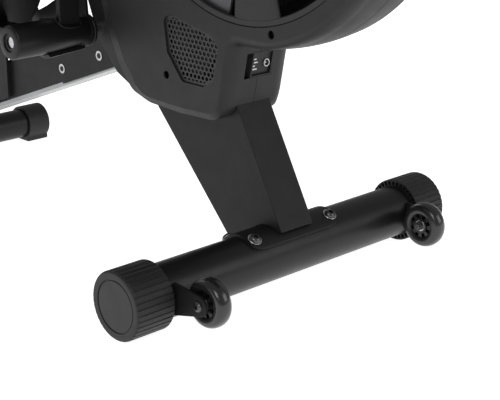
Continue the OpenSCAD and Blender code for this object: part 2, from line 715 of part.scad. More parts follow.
module rail_bracket() color("#2d2d2f") both_sides() difference() {
  union() {
    along_x(rail_x + bracket_gap, rail_x + bracket_gap + 4)
      polygon([[hinge_y - 35, beam_mid(hinge_y - 35) - 24], [hinge_y + 60, beam_mid(hinge_y + 60) - 24],
               [hinge_y + 60, hinge_z + 20], [hinge_y + 30, hinge_z + 30], [hinge_y - 20, hinge_z + 30],
               [hinge_y - 35, hinge_z + 10]]);
    beam_bar(beam_w / 2 + 2, rail_x + bracket_gap, hinge_y - 35, hinge_y + 60, -20, 28);
  }
  x_bar([hinge_y, hinge_z], hinge_r, 0, 60);
  x_bar([lock_y, hinge_z], lock_r + run, 0, 60);
}
module hinge_bolt() color("#a5a5a8") {
  x1 = rail_x + bracket_gap + 4;
  x_bar([hinge_y, hinge_z], hinge_r, -x1 - 1, x1 + 1);
  both_sides() x_bar([hinge_y, hinge_z], 11, x1, x1 + 6, 6);
}
// Spring pin that locks the rail, on the left of the bracket.
module lock_knob() color("#2a2a2c") {
  x1 = rail_x + bracket_gap + 4;
  x_bar([lock_y, hinge_z], lock_r, -x1 - 8, -rail_x + 2);
  x_bar([lock_y, hinge_z], 15, -x1 - 26, -x1 - 6);
}

module seat_rail() color("#c4c4c8") difference() {
  translate([-rail_x, rail_y0, rail_low]) cube([rail_w, rail_len, rail_h]);
  translate([-rail_x + rail_t, rail_y0 - 1, rail_low + rail_t])
    cube([rail_w - 2 * rail_t, rail_len + 2, rail_h - 2 * rail_t]);
  both_sides() translate([rail_x - 1.5, rail_y0 + 90, rail_low + rail_h / 2 - 6]) cube([4, rail_len, 12]);
  x_bar([hinge_y, hinge_z], hinge_r + run, -60, 60);
  intersection() {
    ring_x([hinge_y, hinge_z], lock_y - hinge_y - lock_r - gap, lock_y - hinge_y + lock_r + gap, -60, -rail_x + rail_t + 1);
    along_x(-60, 0) translate([hinge_y, hinge_z])
      polygon([[0, lock_r + 2], [80, lock_r + 2], [80, -80], [0, -80], [-10, -40]]);
  }
}
module rail_end_cap() color("#333335") {
  translate([-rail_x - 2, back_y - end_cap_t, rail_low - 2]) cube([rail_w + 4, end_cap_t, rail_h + 12]);
  translate([-rail_x + rail_t, back_y - end_cap_t - 20, rail_low + rail_t])
    cube([rail_w - 2 * rail_t, 20, rail_h - 2 * rail_t]);
}
module rear_leg() color("#2d2d2f") difference() {
  along_x(-25, 25) polygon([[rear_foot_y - 24, foot_z + 10], [rear_foot_y + 24, foot_z + 10],
                            [rear_foot_y + 30, rail_low], [rear_foot_y - 50, rail_low]]);
  along_x(-22, 22) polygon([[rear_foot_y - 21, foot_z], [rear_foot_y + 21, foot_z],
                            [rear_foot_y + 27, rail_low - 3], [rear_foot_y - 47, rail_low - 3]]);
  x_bar([rear_foot_y, foot_z], foot_r, -60, 60);
}
module rear_foot() color("#242425")
  ring_x([rear_foot_y, foot_z], foot_r - 2.5, foot_r, -rear_len / 2 + 6, rear_len / 2 - 6);
module rear_foot_caps() color("#3b3b3c") both_sides() foot_cap(rear_foot_y, rear_len);

// ---- seat ----

module seat_carriage() color("#2d2d2f") {
  translate([-carriage_x - 3, seat_y - carriage_len / 2, plate_z])
    cube([2 * carriage_x + 6, carriage_len, carriage_plate_t]);
  both_sides() translate([carriage_x, seat_y - carriage_len / 2, rail_top - 40])
    cube([3, carriage_len, plate_z - rail_top + 40]);
  for (s = [-1, 1]) x_bar([seat_y + s * roller_span, roller_z], roller_axle_r, -carriage_x - 3, carriage_x + 3);
}
module seat_cushion() color("#1c1c1d") translate([0, seat_y, plate_z + carriage_plate_t]) hull() {
  for (x = [-1, 1], y = [-1, 1]) translate([x * (seat_w / 2 - 60), y * (seat_d / 2 - 60), 0]) {
    translate([0, 0, 8]) cylinder(r = 60, h = seat_t - 16, $fn = 32);
    cylinder(r = 50, h = seat_t, $fn = 32);
  }
}
module rollers(s) color("#d8d8da") both_sides()
  ring_x([seat_y + s * roller_span, roller_z], roller_axle_r + run, roller_r, roller_x[0], roller_x[1]);
module front_rollers() rollers(-1);
module rear_rollers() rollers(1);

// ---- pedals ----

// A child drawn in the footplate's own frame: +Y towards the toes, +Z out of the tread.
module on_footplate() translate([0, footplate_mid[0], footplate_mid[1]]) rotate([180 - footplate_deg, 0, 0])
  mirror([0, 0, 1]) children();
module pedal() {
  x0 = pedal_in;
  x1 = pedal_in + pedal_w;
  difference() {
    union() {
      x_bar([pedal_y, pedal_z], pedal_flange_r, x0 - body_reach, x0 - body_reach + 4);
      x_bar([pedal_y, pedal_z], pedal_body_r, x0 - body_reach, x1);
      along_x(x0 + arm_out - arm_w / 2, x0 + arm_out + arm_w / 2)
        polygon([[arm_y, arm_low], [arm_y + 9, arm_low], [arm_y + 9, 497], [arm_y, 510]]);
      along_x(pedal_x - arm_w / 2, pedal_x + arm_w / 2) polygon([
        [pedal_y, pedal_z - 16], [463, 284], [463, 296], [pedal_y, pedal_z + 6]]);
      on_footplate() translate([x0, -footplate_len / 2, -footplate_t]) cube([pedal_w, footplate_len, footplate_t]);
      on_footplate() difference() {
        translate([x0, -footplate_len / 2, -footplate_t]) cube([pedal_w, 60, footplate_t + 40]);
        translate([x0 + 8, -footplate_len / 2 + 8, 0]) cube([pedal_w - 16, 60, 50]);
      }
    }
    x_bar([pedal_y, pedal_z], axle_r + run, 0, x1 + 1);
  }
}
module left_pedal() color("#2a2a2b") mirror([1, 0, 0]) pedal();
module right_pedal() color("#2a2a2b") pedal();
module foot_strap() {
  r = pedal_w / 2 - 2;
  on_footplate() intersection() {
    translate([pedal_x, -foot_strap_w / 2 + 20, 0]) rotate([-90, 0, 0]) difference() {
      cylinder(r = r, h = foot_strap_w, $fn = 64);
      translate([0, 0, -1]) cylinder(r = r - 2, h = foot_strap_w + 2, $fn = 64);
    }
    translate([0, -200, 0]) cube([400, 400, 200]);
  }
}
module left_foot_strap() color("#161617") mirror([1, 0, 0]) foot_strap();
module right_foot_strap() color("#161617") foot_strap();
module pedal_axle() color("#9a9a9c") {
  x_bar([pedal_y, pedal_z], axle_r, -pedal_in - pedal_w + 4, pedal_in + pedal_w - 4);
  both_sides() ring_x([pedal_y, pedal_z], axle_r, axle_r + 4, base_x, pedal_in - body_reach - gap);
}

// ---- handle ----

module handle_bar() color("#9a9a9c") {
  x_bar([bar_y, strap_z], bar_r, -handle_w / 2 + 2, handle_w / 2 - 2);
  difference() {
    along_x(-strap_w / 2 - 5, strap_w / 2 + 5) union() {
      translate([bar_y, strap_z]) circle(bar_r + 4);
      translate([bar_y - bar_r - 9, strap_z - 6]) square([bar_r + 9, 12]);
    }
    along_x(-strap_w / 2 - gap, strap_w / 2 + gap) translate([bar_y - 30, strap_z - strap_t / 2 - gap])
      square([30 - bar_r - 1, strap_t + 2 * gap]);
    x_bar([bar_y, strap_z], bar_r, -40, 40);
  }
}
module handle_grips() color("#1a1a1b") both_sides()
  difference() {
    x_bar([bar_y, strap_z], grip_r, 45, handle_w / 2);
    x_bar([bar_y, strap_z], bar_r, 40, handle_w / 2 - 2);
  }
// Webbing from the spool over the guide roller to the handle.
module handle_strap() color("#161617") {
  lo = strap_z - strap_t / 2;
  top = spool_z + wound_r;
  along_x(-strap_w / 2, strap_w / 2) {
    polygon([[spool_y, top], [idler_y - 3, lo], [bar_y - bar_r - 2, lo], [bar_y - bar_r - 2, lo + strap_t],
             [idler_y - 2, lo + strap_t], [spool_y, top + strap_t]]);
    translate([spool_y, spool_z]) difference() {
      circle(wound_r + strap_t);
      circle(spool_r + 0.3);
    }
  }
}

// ---- mast and console ----

// Straight bar on the mast's line, from a to b below the console pin.
module mast_bar(w, d, a, b) set_at([console_y, console_z], -mast_deg)
  translate([-w / 2, -d / 2, -a]) cube([w, d, a - b]);
module mast() color("#2d2d2f") difference() {
  union() {
    difference() {
      mast_bar(mast_w, mast_d, console_z - 690, 20);
      mast_bar(mast_w - 2 * mast_wall, mast_d - 2 * mast_wall, console_z - 688, 24);
    }
    both_sides() set_at([console_y, console_z], -mast_deg) along_x(console_lug_r + 0.5, mast_w / 2) union() {
      circle(mast_d / 2);
      translate([-mast_d / 2, -22]) square([mast_d, 22]);
    }
    x_bar([console_y, console_z], console_pin_r, -mast_w / 2, mast_w / 2);
  }
  on_mast(knob_drop) cylinder(r = 4 + run, h = 60);
}
// A child drawn along +Z, set on the mast's rear face and pointing back.
module on_mast(s) translate([0, mast_at(s)[0], mast_at(s)[1]]) rotate([-90 - mast_deg, 0, 0]) children();
module resistance_knob() color("#2f2f31") on_mast(knob_drop) {
  translate([0, 0, 4]) cylinder(r = 4, h = mast_d / 2 + 2);
  translate([0, 0, mast_d / 2 + gap]) difference() {
    cylinder(r = 24, h = 20);
    for (i = [0 : 11]) rotate(i * 30) translate([25.5, 0, 4]) cylinder(r = 3, h = 30, $fn = 16);
  }
}

// A child drawn in the console's frame: its pin at the origin, +Y out of its screen.
module on_console() set_at([console_y, console_z], console_deg) children();
module console_case() color("#262628") difference() {
  on_console() {
    difference() {
      union() {
        translate([-console_w / 2, console_gap, -20]) cube([console_w, console_t, console_h]);
        along_x(-console_lug_r, console_lug_r) union() {
          circle(console_lug_r);
          translate([0, -console_lug_r]) square([console_gap + 1, 2 * console_lug_r]);
        }
      }
      translate([-console_w / 2 + 3, console_gap + 3, -17]) cube([console_w - 6, console_t - 6, console_h - 6]);
      translate([-console_w / 2 + 30, console_gap + console_t - 4, 30]) cube([console_w - 60, 10, console_h - 65]);
      for (s = [-1, 1]) translate([s * button_x, 20, 5]) rotate([-90, 0, 0]) cylinder(r = button_r + gap, h = 40);
    }
  }
  x_bar([console_y, console_z], console_pin_r + run, -60, 60);
}
module console_screen() color("#101418") on_console()
  translate([-console_w / 2 + 30, console_gap + console_t - 3, 30]) cube([console_w - 60, 2, console_h - 65]);
module button(s) on_console() translate([s * button_x, console_gap + console_t - 4, 5]) rotate([-90, 0, 0])
  cylinder(r = button_r, h = 4 + button_travel + 1);
module left_button() color("#5c5c60") button(-1);
module right_button() color("#5c5c60") button(1);

// ---- the whole machine, with its origin on the floor under the middle ----
module place() translate([0, -mid_y, 0]) children();
place() front_tube();
place() front_caps();
place() wheel_brackets();
place() wheel_bolts();
place() left_tyre();
place() left_hub();
place() right_tyre();
place() right_hub();
place() saddle_plate();
place() leg_post();
place() saddle_bolts();
place() housing_left();
place() housing_right();
place() fan_guards();
place() vent_grilles();
place() inlet_panel();
place() dc_jack();
place() housing_screws();
place() inner_frame();
place() fan_impeller();
place() flywheel();
place() fan_shaft();
place() fan_pulley();
place() drive_belt();
place() drive_spool();
place() recoil_spring();
place() shaft_bearings();
place() idler_roller();
place() brake_yoke();
place() resistance_knob();
place() neck_plates();
place() neck_bolts();
place() lower_beam();
place() middle_foot();
place() middle_foot_caps();
place() rail_bracket();
place() hinge_bolt();
place() lock_knob();
place() seat_rail();
place() rail_end_cap();
place() rear_leg();
place() rear_foot();
place() rear_foot_caps();
place() seat_carriage();
place() seat_cushion();
place() front_rollers();
place() rear_rollers();
place() left_pedal();
place() right_pedal();
place() left_foot_strap();
place() right_foot_strap();
place() pedal_axle();
place() handle_bar();
place() handle_grips();
place() handle_strap();
place() mast();
place() console_case();
place() console_screen();
place() left_button();
place() right_button();
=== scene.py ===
"""Looks of a folding rowing machine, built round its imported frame.

Lengths of the pieces are written in millimetres in the machine's own measure: x across the machine, y back from the
axis of the front stabiliser tube, z up from the floor. to_row() turns them into the frame's metres.
"""
import json

import bmesh
import bpy
import numpy as np
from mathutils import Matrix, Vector


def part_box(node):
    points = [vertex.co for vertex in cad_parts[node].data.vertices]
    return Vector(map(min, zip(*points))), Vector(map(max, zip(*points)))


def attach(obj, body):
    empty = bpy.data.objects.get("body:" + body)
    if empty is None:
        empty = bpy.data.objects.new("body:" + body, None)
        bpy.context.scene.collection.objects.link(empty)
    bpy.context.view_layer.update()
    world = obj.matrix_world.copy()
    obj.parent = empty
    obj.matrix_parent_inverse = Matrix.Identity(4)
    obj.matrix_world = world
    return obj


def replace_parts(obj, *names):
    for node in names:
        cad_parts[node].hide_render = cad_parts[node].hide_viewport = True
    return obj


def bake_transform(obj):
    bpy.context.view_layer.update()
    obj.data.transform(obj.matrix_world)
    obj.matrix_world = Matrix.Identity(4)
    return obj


bl_info = {
    "name": "Rowing machine",
    "version": (1, 0, 0),
    "blender": (4, 5, 0),
    "location": "View3D > Sidebar > Rower",
    "description": "Builds the shells, soft parts and finishes of a folding air rower",
    "category": "Add Mesh",
}

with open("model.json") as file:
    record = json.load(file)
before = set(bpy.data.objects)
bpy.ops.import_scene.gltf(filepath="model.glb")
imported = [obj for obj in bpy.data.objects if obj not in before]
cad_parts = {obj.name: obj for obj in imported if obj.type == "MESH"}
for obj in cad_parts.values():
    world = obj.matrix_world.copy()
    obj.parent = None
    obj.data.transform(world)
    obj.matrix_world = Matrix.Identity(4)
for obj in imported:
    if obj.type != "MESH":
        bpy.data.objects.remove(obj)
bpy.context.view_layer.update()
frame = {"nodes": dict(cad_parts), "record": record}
NODES = frame["nodes"]
RECORD = frame["record"]
MM = 0.001
SIDE_NAMES = {-1: "left", 1: "right"}


def node_box(node):
    """Lowest and highest corner of a CAD node, as arrays in metres."""
    low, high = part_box(node)
    return np.array(low), np.array(high)


TUBE_LOW, TUBE_HIGH = node_box("front_tube")
TUBE = (TUBE_LOW + TUBE_HIGH) / 2
BACK = TUBE[1]


def to_row(points):
    """Machine millimetres to frame metres: scaled, then moved back to the front tube's axis."""
    return np.asarray(points, float) * MM + np.array([0.0, BACK, 0.0])


def to_machine(point):
    """Frame metres to machine millimetres, the inverse of to_row."""
    return (np.asarray(point, float) - np.array([0.0, BACK, 0.0])) / MM


def joint_record(name):
    """What the record says of one joint."""
    return next(joint for joint in RECORD["behaviour"]["joints"] if joint["name"] == name)


def joint_at(name):
    """Pivot of a joint in machine millimetres."""
    return to_machine(joint_record(name)["pos_m"])


def mm_box(node):
    """Lowest and highest corner of a CAD node in machine millimetres."""
    low, high = node_box(node)
    return to_machine(low), to_machine(high)


def middle_of(node):
    """Middle of a CAD node seen from the side, as (y, z) in machine millimetres."""
    low, high = mm_box(node)
    return (low[1:] + high[1:]) / 2


FAN = joint_at("fan_spin")[1:]
PEDAL = joint_at("left_pedal_tilt")[1:]
TUBE_Z = TUBE[2] / MM
TUBE_R = (TUBE_HIGH[2] - TUBE_LOW[2]) / 2 / MM


# ---- surfaces ----


def grid_faces(nu, nv, wrap_u, wrap_v, start=0):
    """Quads of an nu by nv grid of vertices, closed along u or v where asked."""
    i = np.arange(nu if wrap_u else nu - 1)[:, None]
    j = np.arange(nv if wrap_v else nv - 1)[None, :]
    a = i * nv + j
    b = i * nv + (j + 1) % nv
    c = ((i + 1) % nu) * nv + (j + 1) % nv
    d = ((i + 1) % nu) * nv + j
    return np.stack([a, b, c, d], -1).reshape(-1, 4) + start


class Shape:
    """Collects surfaces in machine millimetres and makes them one mesh object."""

    def __init__(self):
        self.points = []
        self.faces = []
        self.count = 0

    def add(self, points, faces):
        """Takes an array of points and a list of faces that count from the first of them."""
        points = np.asarray(points, float).reshape(-1, 3)
        self.faces += [tuple(int(k) + self.count for k in face) for face in faces]
        self.points.append(points)
        self.count += len(points)
        return self

    def grid(self, grid, wrap_u=False, wrap_v=False, caps=False):
        """A grid of points (nu, nv, 3); caps closes its first and last row with a face each."""
        nu, nv = grid.shape[:2]
        faces = [tuple(f) for f in grid_faces(nu, nv, wrap_u, wrap_v)]
        if caps:
            faces.append(tuple(range(nv)))
            faces.append(tuple((nu - 1) * nv + k for k in range(nv)))
        return self.add(grid, faces)

    def mirrored(self):
        """The same surfaces on the machine's other side."""
        other = Shape()
        flip = np.array([-1.0, 1.0, 1.0])
        other.points = [p * flip for p in self.points]
        other.faces = [f[::-1] for f in self.faces]
        other.count = self.count
        return other

    def on_side(self, side):
        """This shape on the right, where it was drawn, or its mirror image on the left."""
        return self.mirrored() if side < 0 else self

    def joined(self, other):
        """This shape and another as one."""
        self.faces += [tuple(k + self.count for k in f) for f in other.faces]
        self.points += other.points
        self.count += other.count
        return self

    def mesh(self, name, sharp_deg=32.0):
        """Closed mesh in frame metres with outward faces, smooth but for its sharp edges."""
        mesh = bpy.data.meshes.new(name)
        mesh.from_pydata(to_row(np.concatenate(self.points)), [], self.faces)
        tidy_mesh(mesh, sharp_deg)
        return mesh

    def piece(self, name, body, look, slot, nodes=(), sharp_deg=32.0):
        """Makes the object, rides it on a body, and lets it stand for CAD nodes."""
        return settle(placed(name, self.mesh(name, sharp_deg)), body, look, nodes)


def placed(name, mesh):
    """A new object with a mesh, linked into the scene."""
    obj = bpy.data.objects.new(name, mesh)
    bpy.context.scene.collection.objects.link(obj)
    return obj


def vertex_places(mesh):
    """Positions of a mesh's vertices, as an array with a row for each."""
    flat = np.empty(len(mesh.vertices) * 3)
    mesh.vertices.foreach_get("co", flat)
    return flat.reshape(-1, 3)


def tidy_mesh(mesh, sharp_deg):
    """Merges doubles, turns faces outwards and marks the edges that stay sharp."""
    bm = bmesh.new()
    bm.from_mesh(mesh)
    bmesh.ops.remove_doubles(bm, verts=bm.verts, dist=2e-6)
    bmesh.ops.recalc_face_normals(bm, faces=bm.faces)
    limit = np.radians(sharp_deg)
    for edge in bm.edges:
        edge.smooth = len(edge.link_faces) == 2 and edge.calc_face_angle(0.0) < limit
    for face in bm.faces:
        face.smooth = True
    bm.to_mesh(mesh)
    bm.free()


def settle(obj, body, look, nodes=()):
    """Gives a finished piece its material, body and the CAD nodes that it stands for."""
    obj.data.materials.clear()
    obj.data.materials.append(look)
    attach(obj, body)
    if nodes:
        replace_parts(obj, *nodes)
    return obj


def bevel(obj, width, segments=3):
    """Rounds a piece's edges by a width in millimetres."""
    for edge in obj.data.edges:
        edge.use_edge_sharp = False
    mod = obj.modifiers.new("edge", "BEVEL")
    mod.width = width * MM
    mod.segments = segments
    mod.limit_method = "ANGLE"
    mod.angle_limit = np.radians(30.0)
    mod.harden_normals = True
    flat = obj.modifiers.new("flat faces", "WEIGHTED_NORMAL")
    flat.weight = 100
    return obj


def applied(obj):
    """Replaces a piece's mesh with what its modifiers make of it."""
    graph = bpy.context.evaluated_depsgraph_get()
    mesh = bpy.data.meshes.new_from_object(obj.evaluated_get(graph))
    obj.modifiers.clear()
    old = obj.data
    obj.data = mesh
    bpy.data.meshes.remove(old)
    return obj


def circle(n):
    """Angles of n even steps round a circle."""
    return np.arange(n) * 2 * np.pi / n


def hexagon(n):
    """Radius of a hexagon at n even angles, as a share of its corner's radius."""
    return np.cos(np.pi / 6) / np.cos((circle(n) + np.pi / 6) % (np.pi / 3) - np.pi / 6)


def squared(value, power):
    """Value to a power with its sign kept: the sides of a superellipse, from a cosine or a sine."""
    return np.sign(value) * np.abs(value) ** power


def lathe(profile, centre, n=96, swell=None):
    """Surface turned about the X direction: each (x, r) of the profile is a circle of radius r at x.

    swell, if given, is an array (len(profile), n) added to the radius, for flutes and pockets."""
    profile = np.asarray(profile, float)
    angle = circle(n)
    radius = np.repeat(profile[:, 1:2], n, axis=1)
    if swell is not None:
        radius = radius + swell
    grid = np.empty((len(profile), n, 3))
    grid[..., 0] = profile[:, 0:1]
    grid[..., 1] = centre[0] + radius * np.cos(angle)
    grid[..., 2] = centre[1] + radius * np.sin(angle)
    return grid


def turned(profile, centre, n=96, ring=False):
    """Closed turned solid: capped at both ends, or joined end to start where it is a ring."""
    return Shape().grid(lathe(profile, centre, n), wrap_u=ring, wrap_v=True, caps=not ring)


def ring_profile(x0, x1, r0, r1, soft=0.6):
    """Section of a ring from x0 to x1 and r0 to r1 with its corners cut by soft."""
    return [
        (x0 + soft, r0), (x1 - soft, r0), (x1, r0 + soft), (x1, r1 - soft), (x1 - soft, r1), (x0 + soft, r1),
        (x0, r1 - soft), (x0, r0 + soft),
    ]


def bar_profile(x0, x1, r, soft=0.8):
    """Section of a solid bar with rounded end edges, as a few circles from end to end."""
    turn = np.linspace(0, np.pi / 2, 4)
    left = [(x0 + soft - soft * np.cos(a), r - soft + soft * np.sin(a)) for a in turn]
    right = [(x1 - soft + soft * np.sin(a), r - soft + soft * np.cos(a)) for a in turn]
    return [(x0, 0.2 * r)] + left + right + [(x1, 0.2 * r)]


def prism(outline, x0, x1):
    """Straight extrusion along X of a closed outline of (y, z) points."""
    outline = np.asarray(outline, float)
    grid = np.empty((2, len(outline), 3))
    grid[..., 1:] = outline
    grid[0, :, 0] = x0
    grid[1, :, 0] = x1
    return Shape().grid(grid, wrap_v=True, caps=True)


def block(x, y, z):
    """Box between pairs of limits."""
    outline = [(y[0], z[0]), (y[1], z[0]), (y[1], z[1]), (y[0], z[1])]
    return prism(outline, x[0], x[1])


def unit(vector):
    """Vector of length one, along the last axis."""
    return vector / np.maximum(np.linalg.norm(vector, axis=-1, keepdims=True), 1e-9)


def fillet(corners, steps=8):
    """Closed outline from (y, z, radius) corners: each corner becomes an arc that touches both its sides."""
    corners = np.asarray(corners, float)
    out = []
    for k in range(len(corners)):
        p, radius = corners[k, :2], corners[k, 2]
        a = unit(corners[k - 1, :2] - p)
        b = unit(corners[(k + 1) % len(corners), :2] - p)
        half = np.arccos(np.clip(a @ b, -1, 1)) / 2
        if radius <= 0 or half > np.pi / 2 - 0.01:
            out.append(p[None])
            continue
        reach = radius / np.tan(half)
        centre = p + unit(a + b) * radius / np.sin(half)
        start = p + a * reach - centre
        end = p + b * reach - centre
        t = np.linspace(0, 1, steps)[:, None]
        sweep = np.arccos(np.clip(unit(start) @ unit(end), -1, 1))
        out.append(centre + (np.sin((1 - t) * sweep) * start + np.sin(t * sweep) * end) / np.sin(sweep))
    return np.concatenate(out)


def resample(outline, step):
    """Closed outline with extra points so that no side is longer than step."""
    out = []
    for a, b in zip(outline, np.roll(outline, -1, axis=0)):
        n = max(1, int(np.ceil(np.linalg.norm(b - a) / step)))
        out.append(a + (b - a) * (np.arange(n) / n)[:, None])
    return np.concatenate(out)


def outward(outline, rounds=2):
    """Outward unit normals of a counter-clockwise outline, averaged over neighbours."""
    side = unit(np.roll(outline, -1, axis=0) - outline)
    normal = np.stack([side[:, 1], -side[:, 0]], -1)
    normal = normal + np.roll(normal, 1, axis=0)
    for _ in range(rounds):
        normal = normal + 0.5 * (np.roll(normal, 1, axis=0) + np.roll(normal, -1, axis=0))
    return unit(normal)


def oriented(points, origin, axis):
    """Points drawn about +X at the origin, turned so that +X lies along axis and moved to origin."""
    turn = Vector((1, 0, 0)).rotation_difference(Vector(axis)).to_matrix()
    return points @ np.array(turn).T + np.asarray(origin, float)


# ---- finishes ----


class Nodes:
    """Small helper that adds shader nodes and joins their sockets."""

    def __init__(self, name):
        self.material = bpy.data.materials.new(name)
        self.material.use_nodes = True
        self.tree = self.material.node_tree
        self.shader = self.tree.nodes["Principled BSDF"]
        self.place = self.tree.nodes.new("ShaderNodeTexCoord").outputs["Object"]

    def add(self, kind, **values):
        """A new node; values are socket names with spaces as underscores, or node properties."""
        node = self.tree.nodes.new(kind)
        for key, value in values.items():
            if hasattr(node, key):
                setattr(node, key, value)
            else:
                node.inputs[key.replace("_", " ")].default_value = value
        return node

    def link(self, out, socket):
        self.tree.links.new(out, socket)

    def noise(self, scale, detail=3.0, rough=0.55, at=None):
        """Fractal noise of a scale in cycles per metre."""
        node = self.add("ShaderNodeTexNoise", Scale=scale, Detail=detail, Roughness=rough)
        self.link(at or self.place, node.inputs["Vector"])
        return node.outputs["Fac"]

    def spread(self, value, low, high, low_in=0.3, high_in=0.7):
        """Maps a value to a range."""
        node = self.add("ShaderNodeMapRange")
        self.link(value, node.inputs["Value"])
        for key, number in (("From Min", low_in), ("From Max", high_in), ("To Min", low), ("To Max", high)):
            node.inputs[key].default_value = number
        return node.outputs["Result"]

    def blend(self, value, dark, light):
        """Mixes two colours by a value."""
        node = self.add("ShaderNodeMix", data_type="RGBA")
        self.link(value, node.inputs["Factor"])
        node.inputs[6].default_value = (*dark, 1)
        node.inputs[7].default_value = (*light, 1)
        return node.outputs[2]

    def bump(self, height, strength, distance, under=None):
        """Bump from a height, over an earlier bump where there is one."""
        node = self.add("ShaderNodeBump", Strength=strength, Distance=distance)
        self.link(height, node.inputs["Height"])
        if under is not None:
            self.link(under, node.inputs["Normal"])
        return node.outputs["Normal"]

    def set(self, **values):
        """Sets sockets of the shader itself."""
        for key, value in values.items():
            self.shader.inputs[key.replace("_", " ")].default_value = value

    def finish(self, colour, gloss, normal=None):
        """Joins what drives colour, roughness and normal to the shader, and gives the material."""
        for socket, out in (("Base Color", colour), ("Roughness", gloss), ("Normal", normal)):
            if out is not None:
                self.link(out, self.shader.inputs[socket])
        return self.material


def grained(name, colour, rough, metal=0.0, specular=0.3, grain=1400.0, depth=0.05, tint=0.1, wear=0.05, **more):
    """Moulded or painted surface: a fine grain in the bump, slow colour drift and uneven gloss."""
    n = Nodes(name)
    n.set(Metallic=metal, Specular_IOR_Level=specular, **more)
    colour = np.array(colour, float)
    drift = n.spread(n.noise(9.0, 4.0), 0, 1)
    tone = n.blend(drift, colour * (1 - tint), colour * (1 + tint))
    smudge = n.spread(n.noise(38.0, 5.0, 0.65), rough - wear, rough + wear)
    fine = n.bump(n.noise(grain, 2.0), 0.5, depth * MM)
    return n.finish(tone, smudge, n.bump(n.noise(60.0, 2.0), 0.08, 0.3 * MM, fine))


def brushed(name, colour, rough, axis):
    """Metal with fine lines along one axis: noise stretched a hundredfold along it."""
    n = Nodes(name)
    n.set(Metallic=1.0, Specular_IOR_Level=0.5)
    scale = [900.0, 900.0, 900.0]
    scale[axis] = 9.0
    stretch = n.add("ShaderNodeMapping")
    stretch.inputs["Scale"].default_value = scale
    n.link(n.place, stretch.inputs["Vector"])
    lines = n.noise(1.0, 3.0, 0.6, stretch.outputs["Vector"])
    colour = np.array(colour, float)
    tone = n.blend(n.spread(lines, 0, 1), colour * 0.9, colour * 1.08)
    gloss = n.spread(n.noise(25.0, 4.0), rough - 0.05, rough + 0.07)
    return n.finish(tone, gloss, n.bump(lines, 0.3, 0.02 * MM))


def woven(name, colour, yarn=1.1):
    """Webbing: a twill of raised yarns, from two slanting waves that cross, on x and z of the Object coordinates. Its
    colour follows the yarns' height: painted shade in the troughs between the yarns and a painted highlight on their
    tops.
    """
    n = Nodes(name)
    n.set(Specular_IOR_Level=0.25, Sheen_Weight=0.35, Sheen_Roughness=0.45)
    split = n.add("ShaderNodeSeparateXYZ")
    n.link(n.place, split.inputs["Vector"])
    waves = []
    for axis, other in ((0, 2), (2, 0)):
        steep = n.add("ShaderNodeMath", operation="MULTIPLY")
        n.link(split.outputs[axis], steep.inputs[0])
        steep.inputs[1].default_value = 2 * np.pi / (yarn * 2 * MM)
        lean = n.add("ShaderNodeMath", operation="MULTIPLY_ADD")
        n.link(split.outputs[other], lean.inputs[0])
        lean.inputs[1].default_value = np.pi / (yarn * 2 * MM)
        n.link(steep.outputs[0], lean.inputs[2])
        wave = n.add("ShaderNodeMath", operation="SINE")
        n.link(lean.outputs[0], wave.inputs[0])
        waves.append(wave.outputs[0])
    top = n.add("ShaderNodeMath", operation="MAXIMUM")
    n.link(waves[0], top.inputs[0])
    n.link(waves[1], top.inputs[1])
    colour = np.array(colour, float)
    # painted shade between the yarns and painted highlight on their tops, taken from the yarns' height
    painted_yarn_shade = n.spread(top.outputs[0], 0, 1, -0.6, 1.0)
    tone = n.blend(painted_yarn_shade, colour * 0.45, colour * 1.3)
    return n.finish(tone, n.spread(n.noise(240.0), 0.75, 0.92), n.bump(top.outputs[0], 0.7, 0.25 * MM))


def cellular(name, colour, rough, cell, depth, specular=0.3, sheen=0.0):
    """Foam or grained upholstery: rounded Voronoi cells in the bump with a finer grain over them."""
    n = Nodes(name)
    n.set(Specular_IOR_Level=specular, Sheen_Weight=sheen, Sheen_Roughness=0.4)
    cells = n.add("ShaderNodeTexVoronoi", feature="SMOOTH_F1", Scale=1 / (cell * MM))
    n.link(n.place, cells.inputs["Vector"])
    dist = cells.outputs["Distance"]
    colour = np.array(colour, float)
    tone = n.blend(n.spread(dist, 0, 1, 0.1, 0.8), colour * 1.15, colour * 0.7)
    gloss = n.spread(n.noise(45.0, 4.0), rough - 0.06, rough + 0.06)
    fine = n.bump(n.noise(2200.0, 2.0), 0.2, 0.03 * MM)
    return n.finish(tone, gloss, n.bump(dist, 0.6, depth * MM, fine))


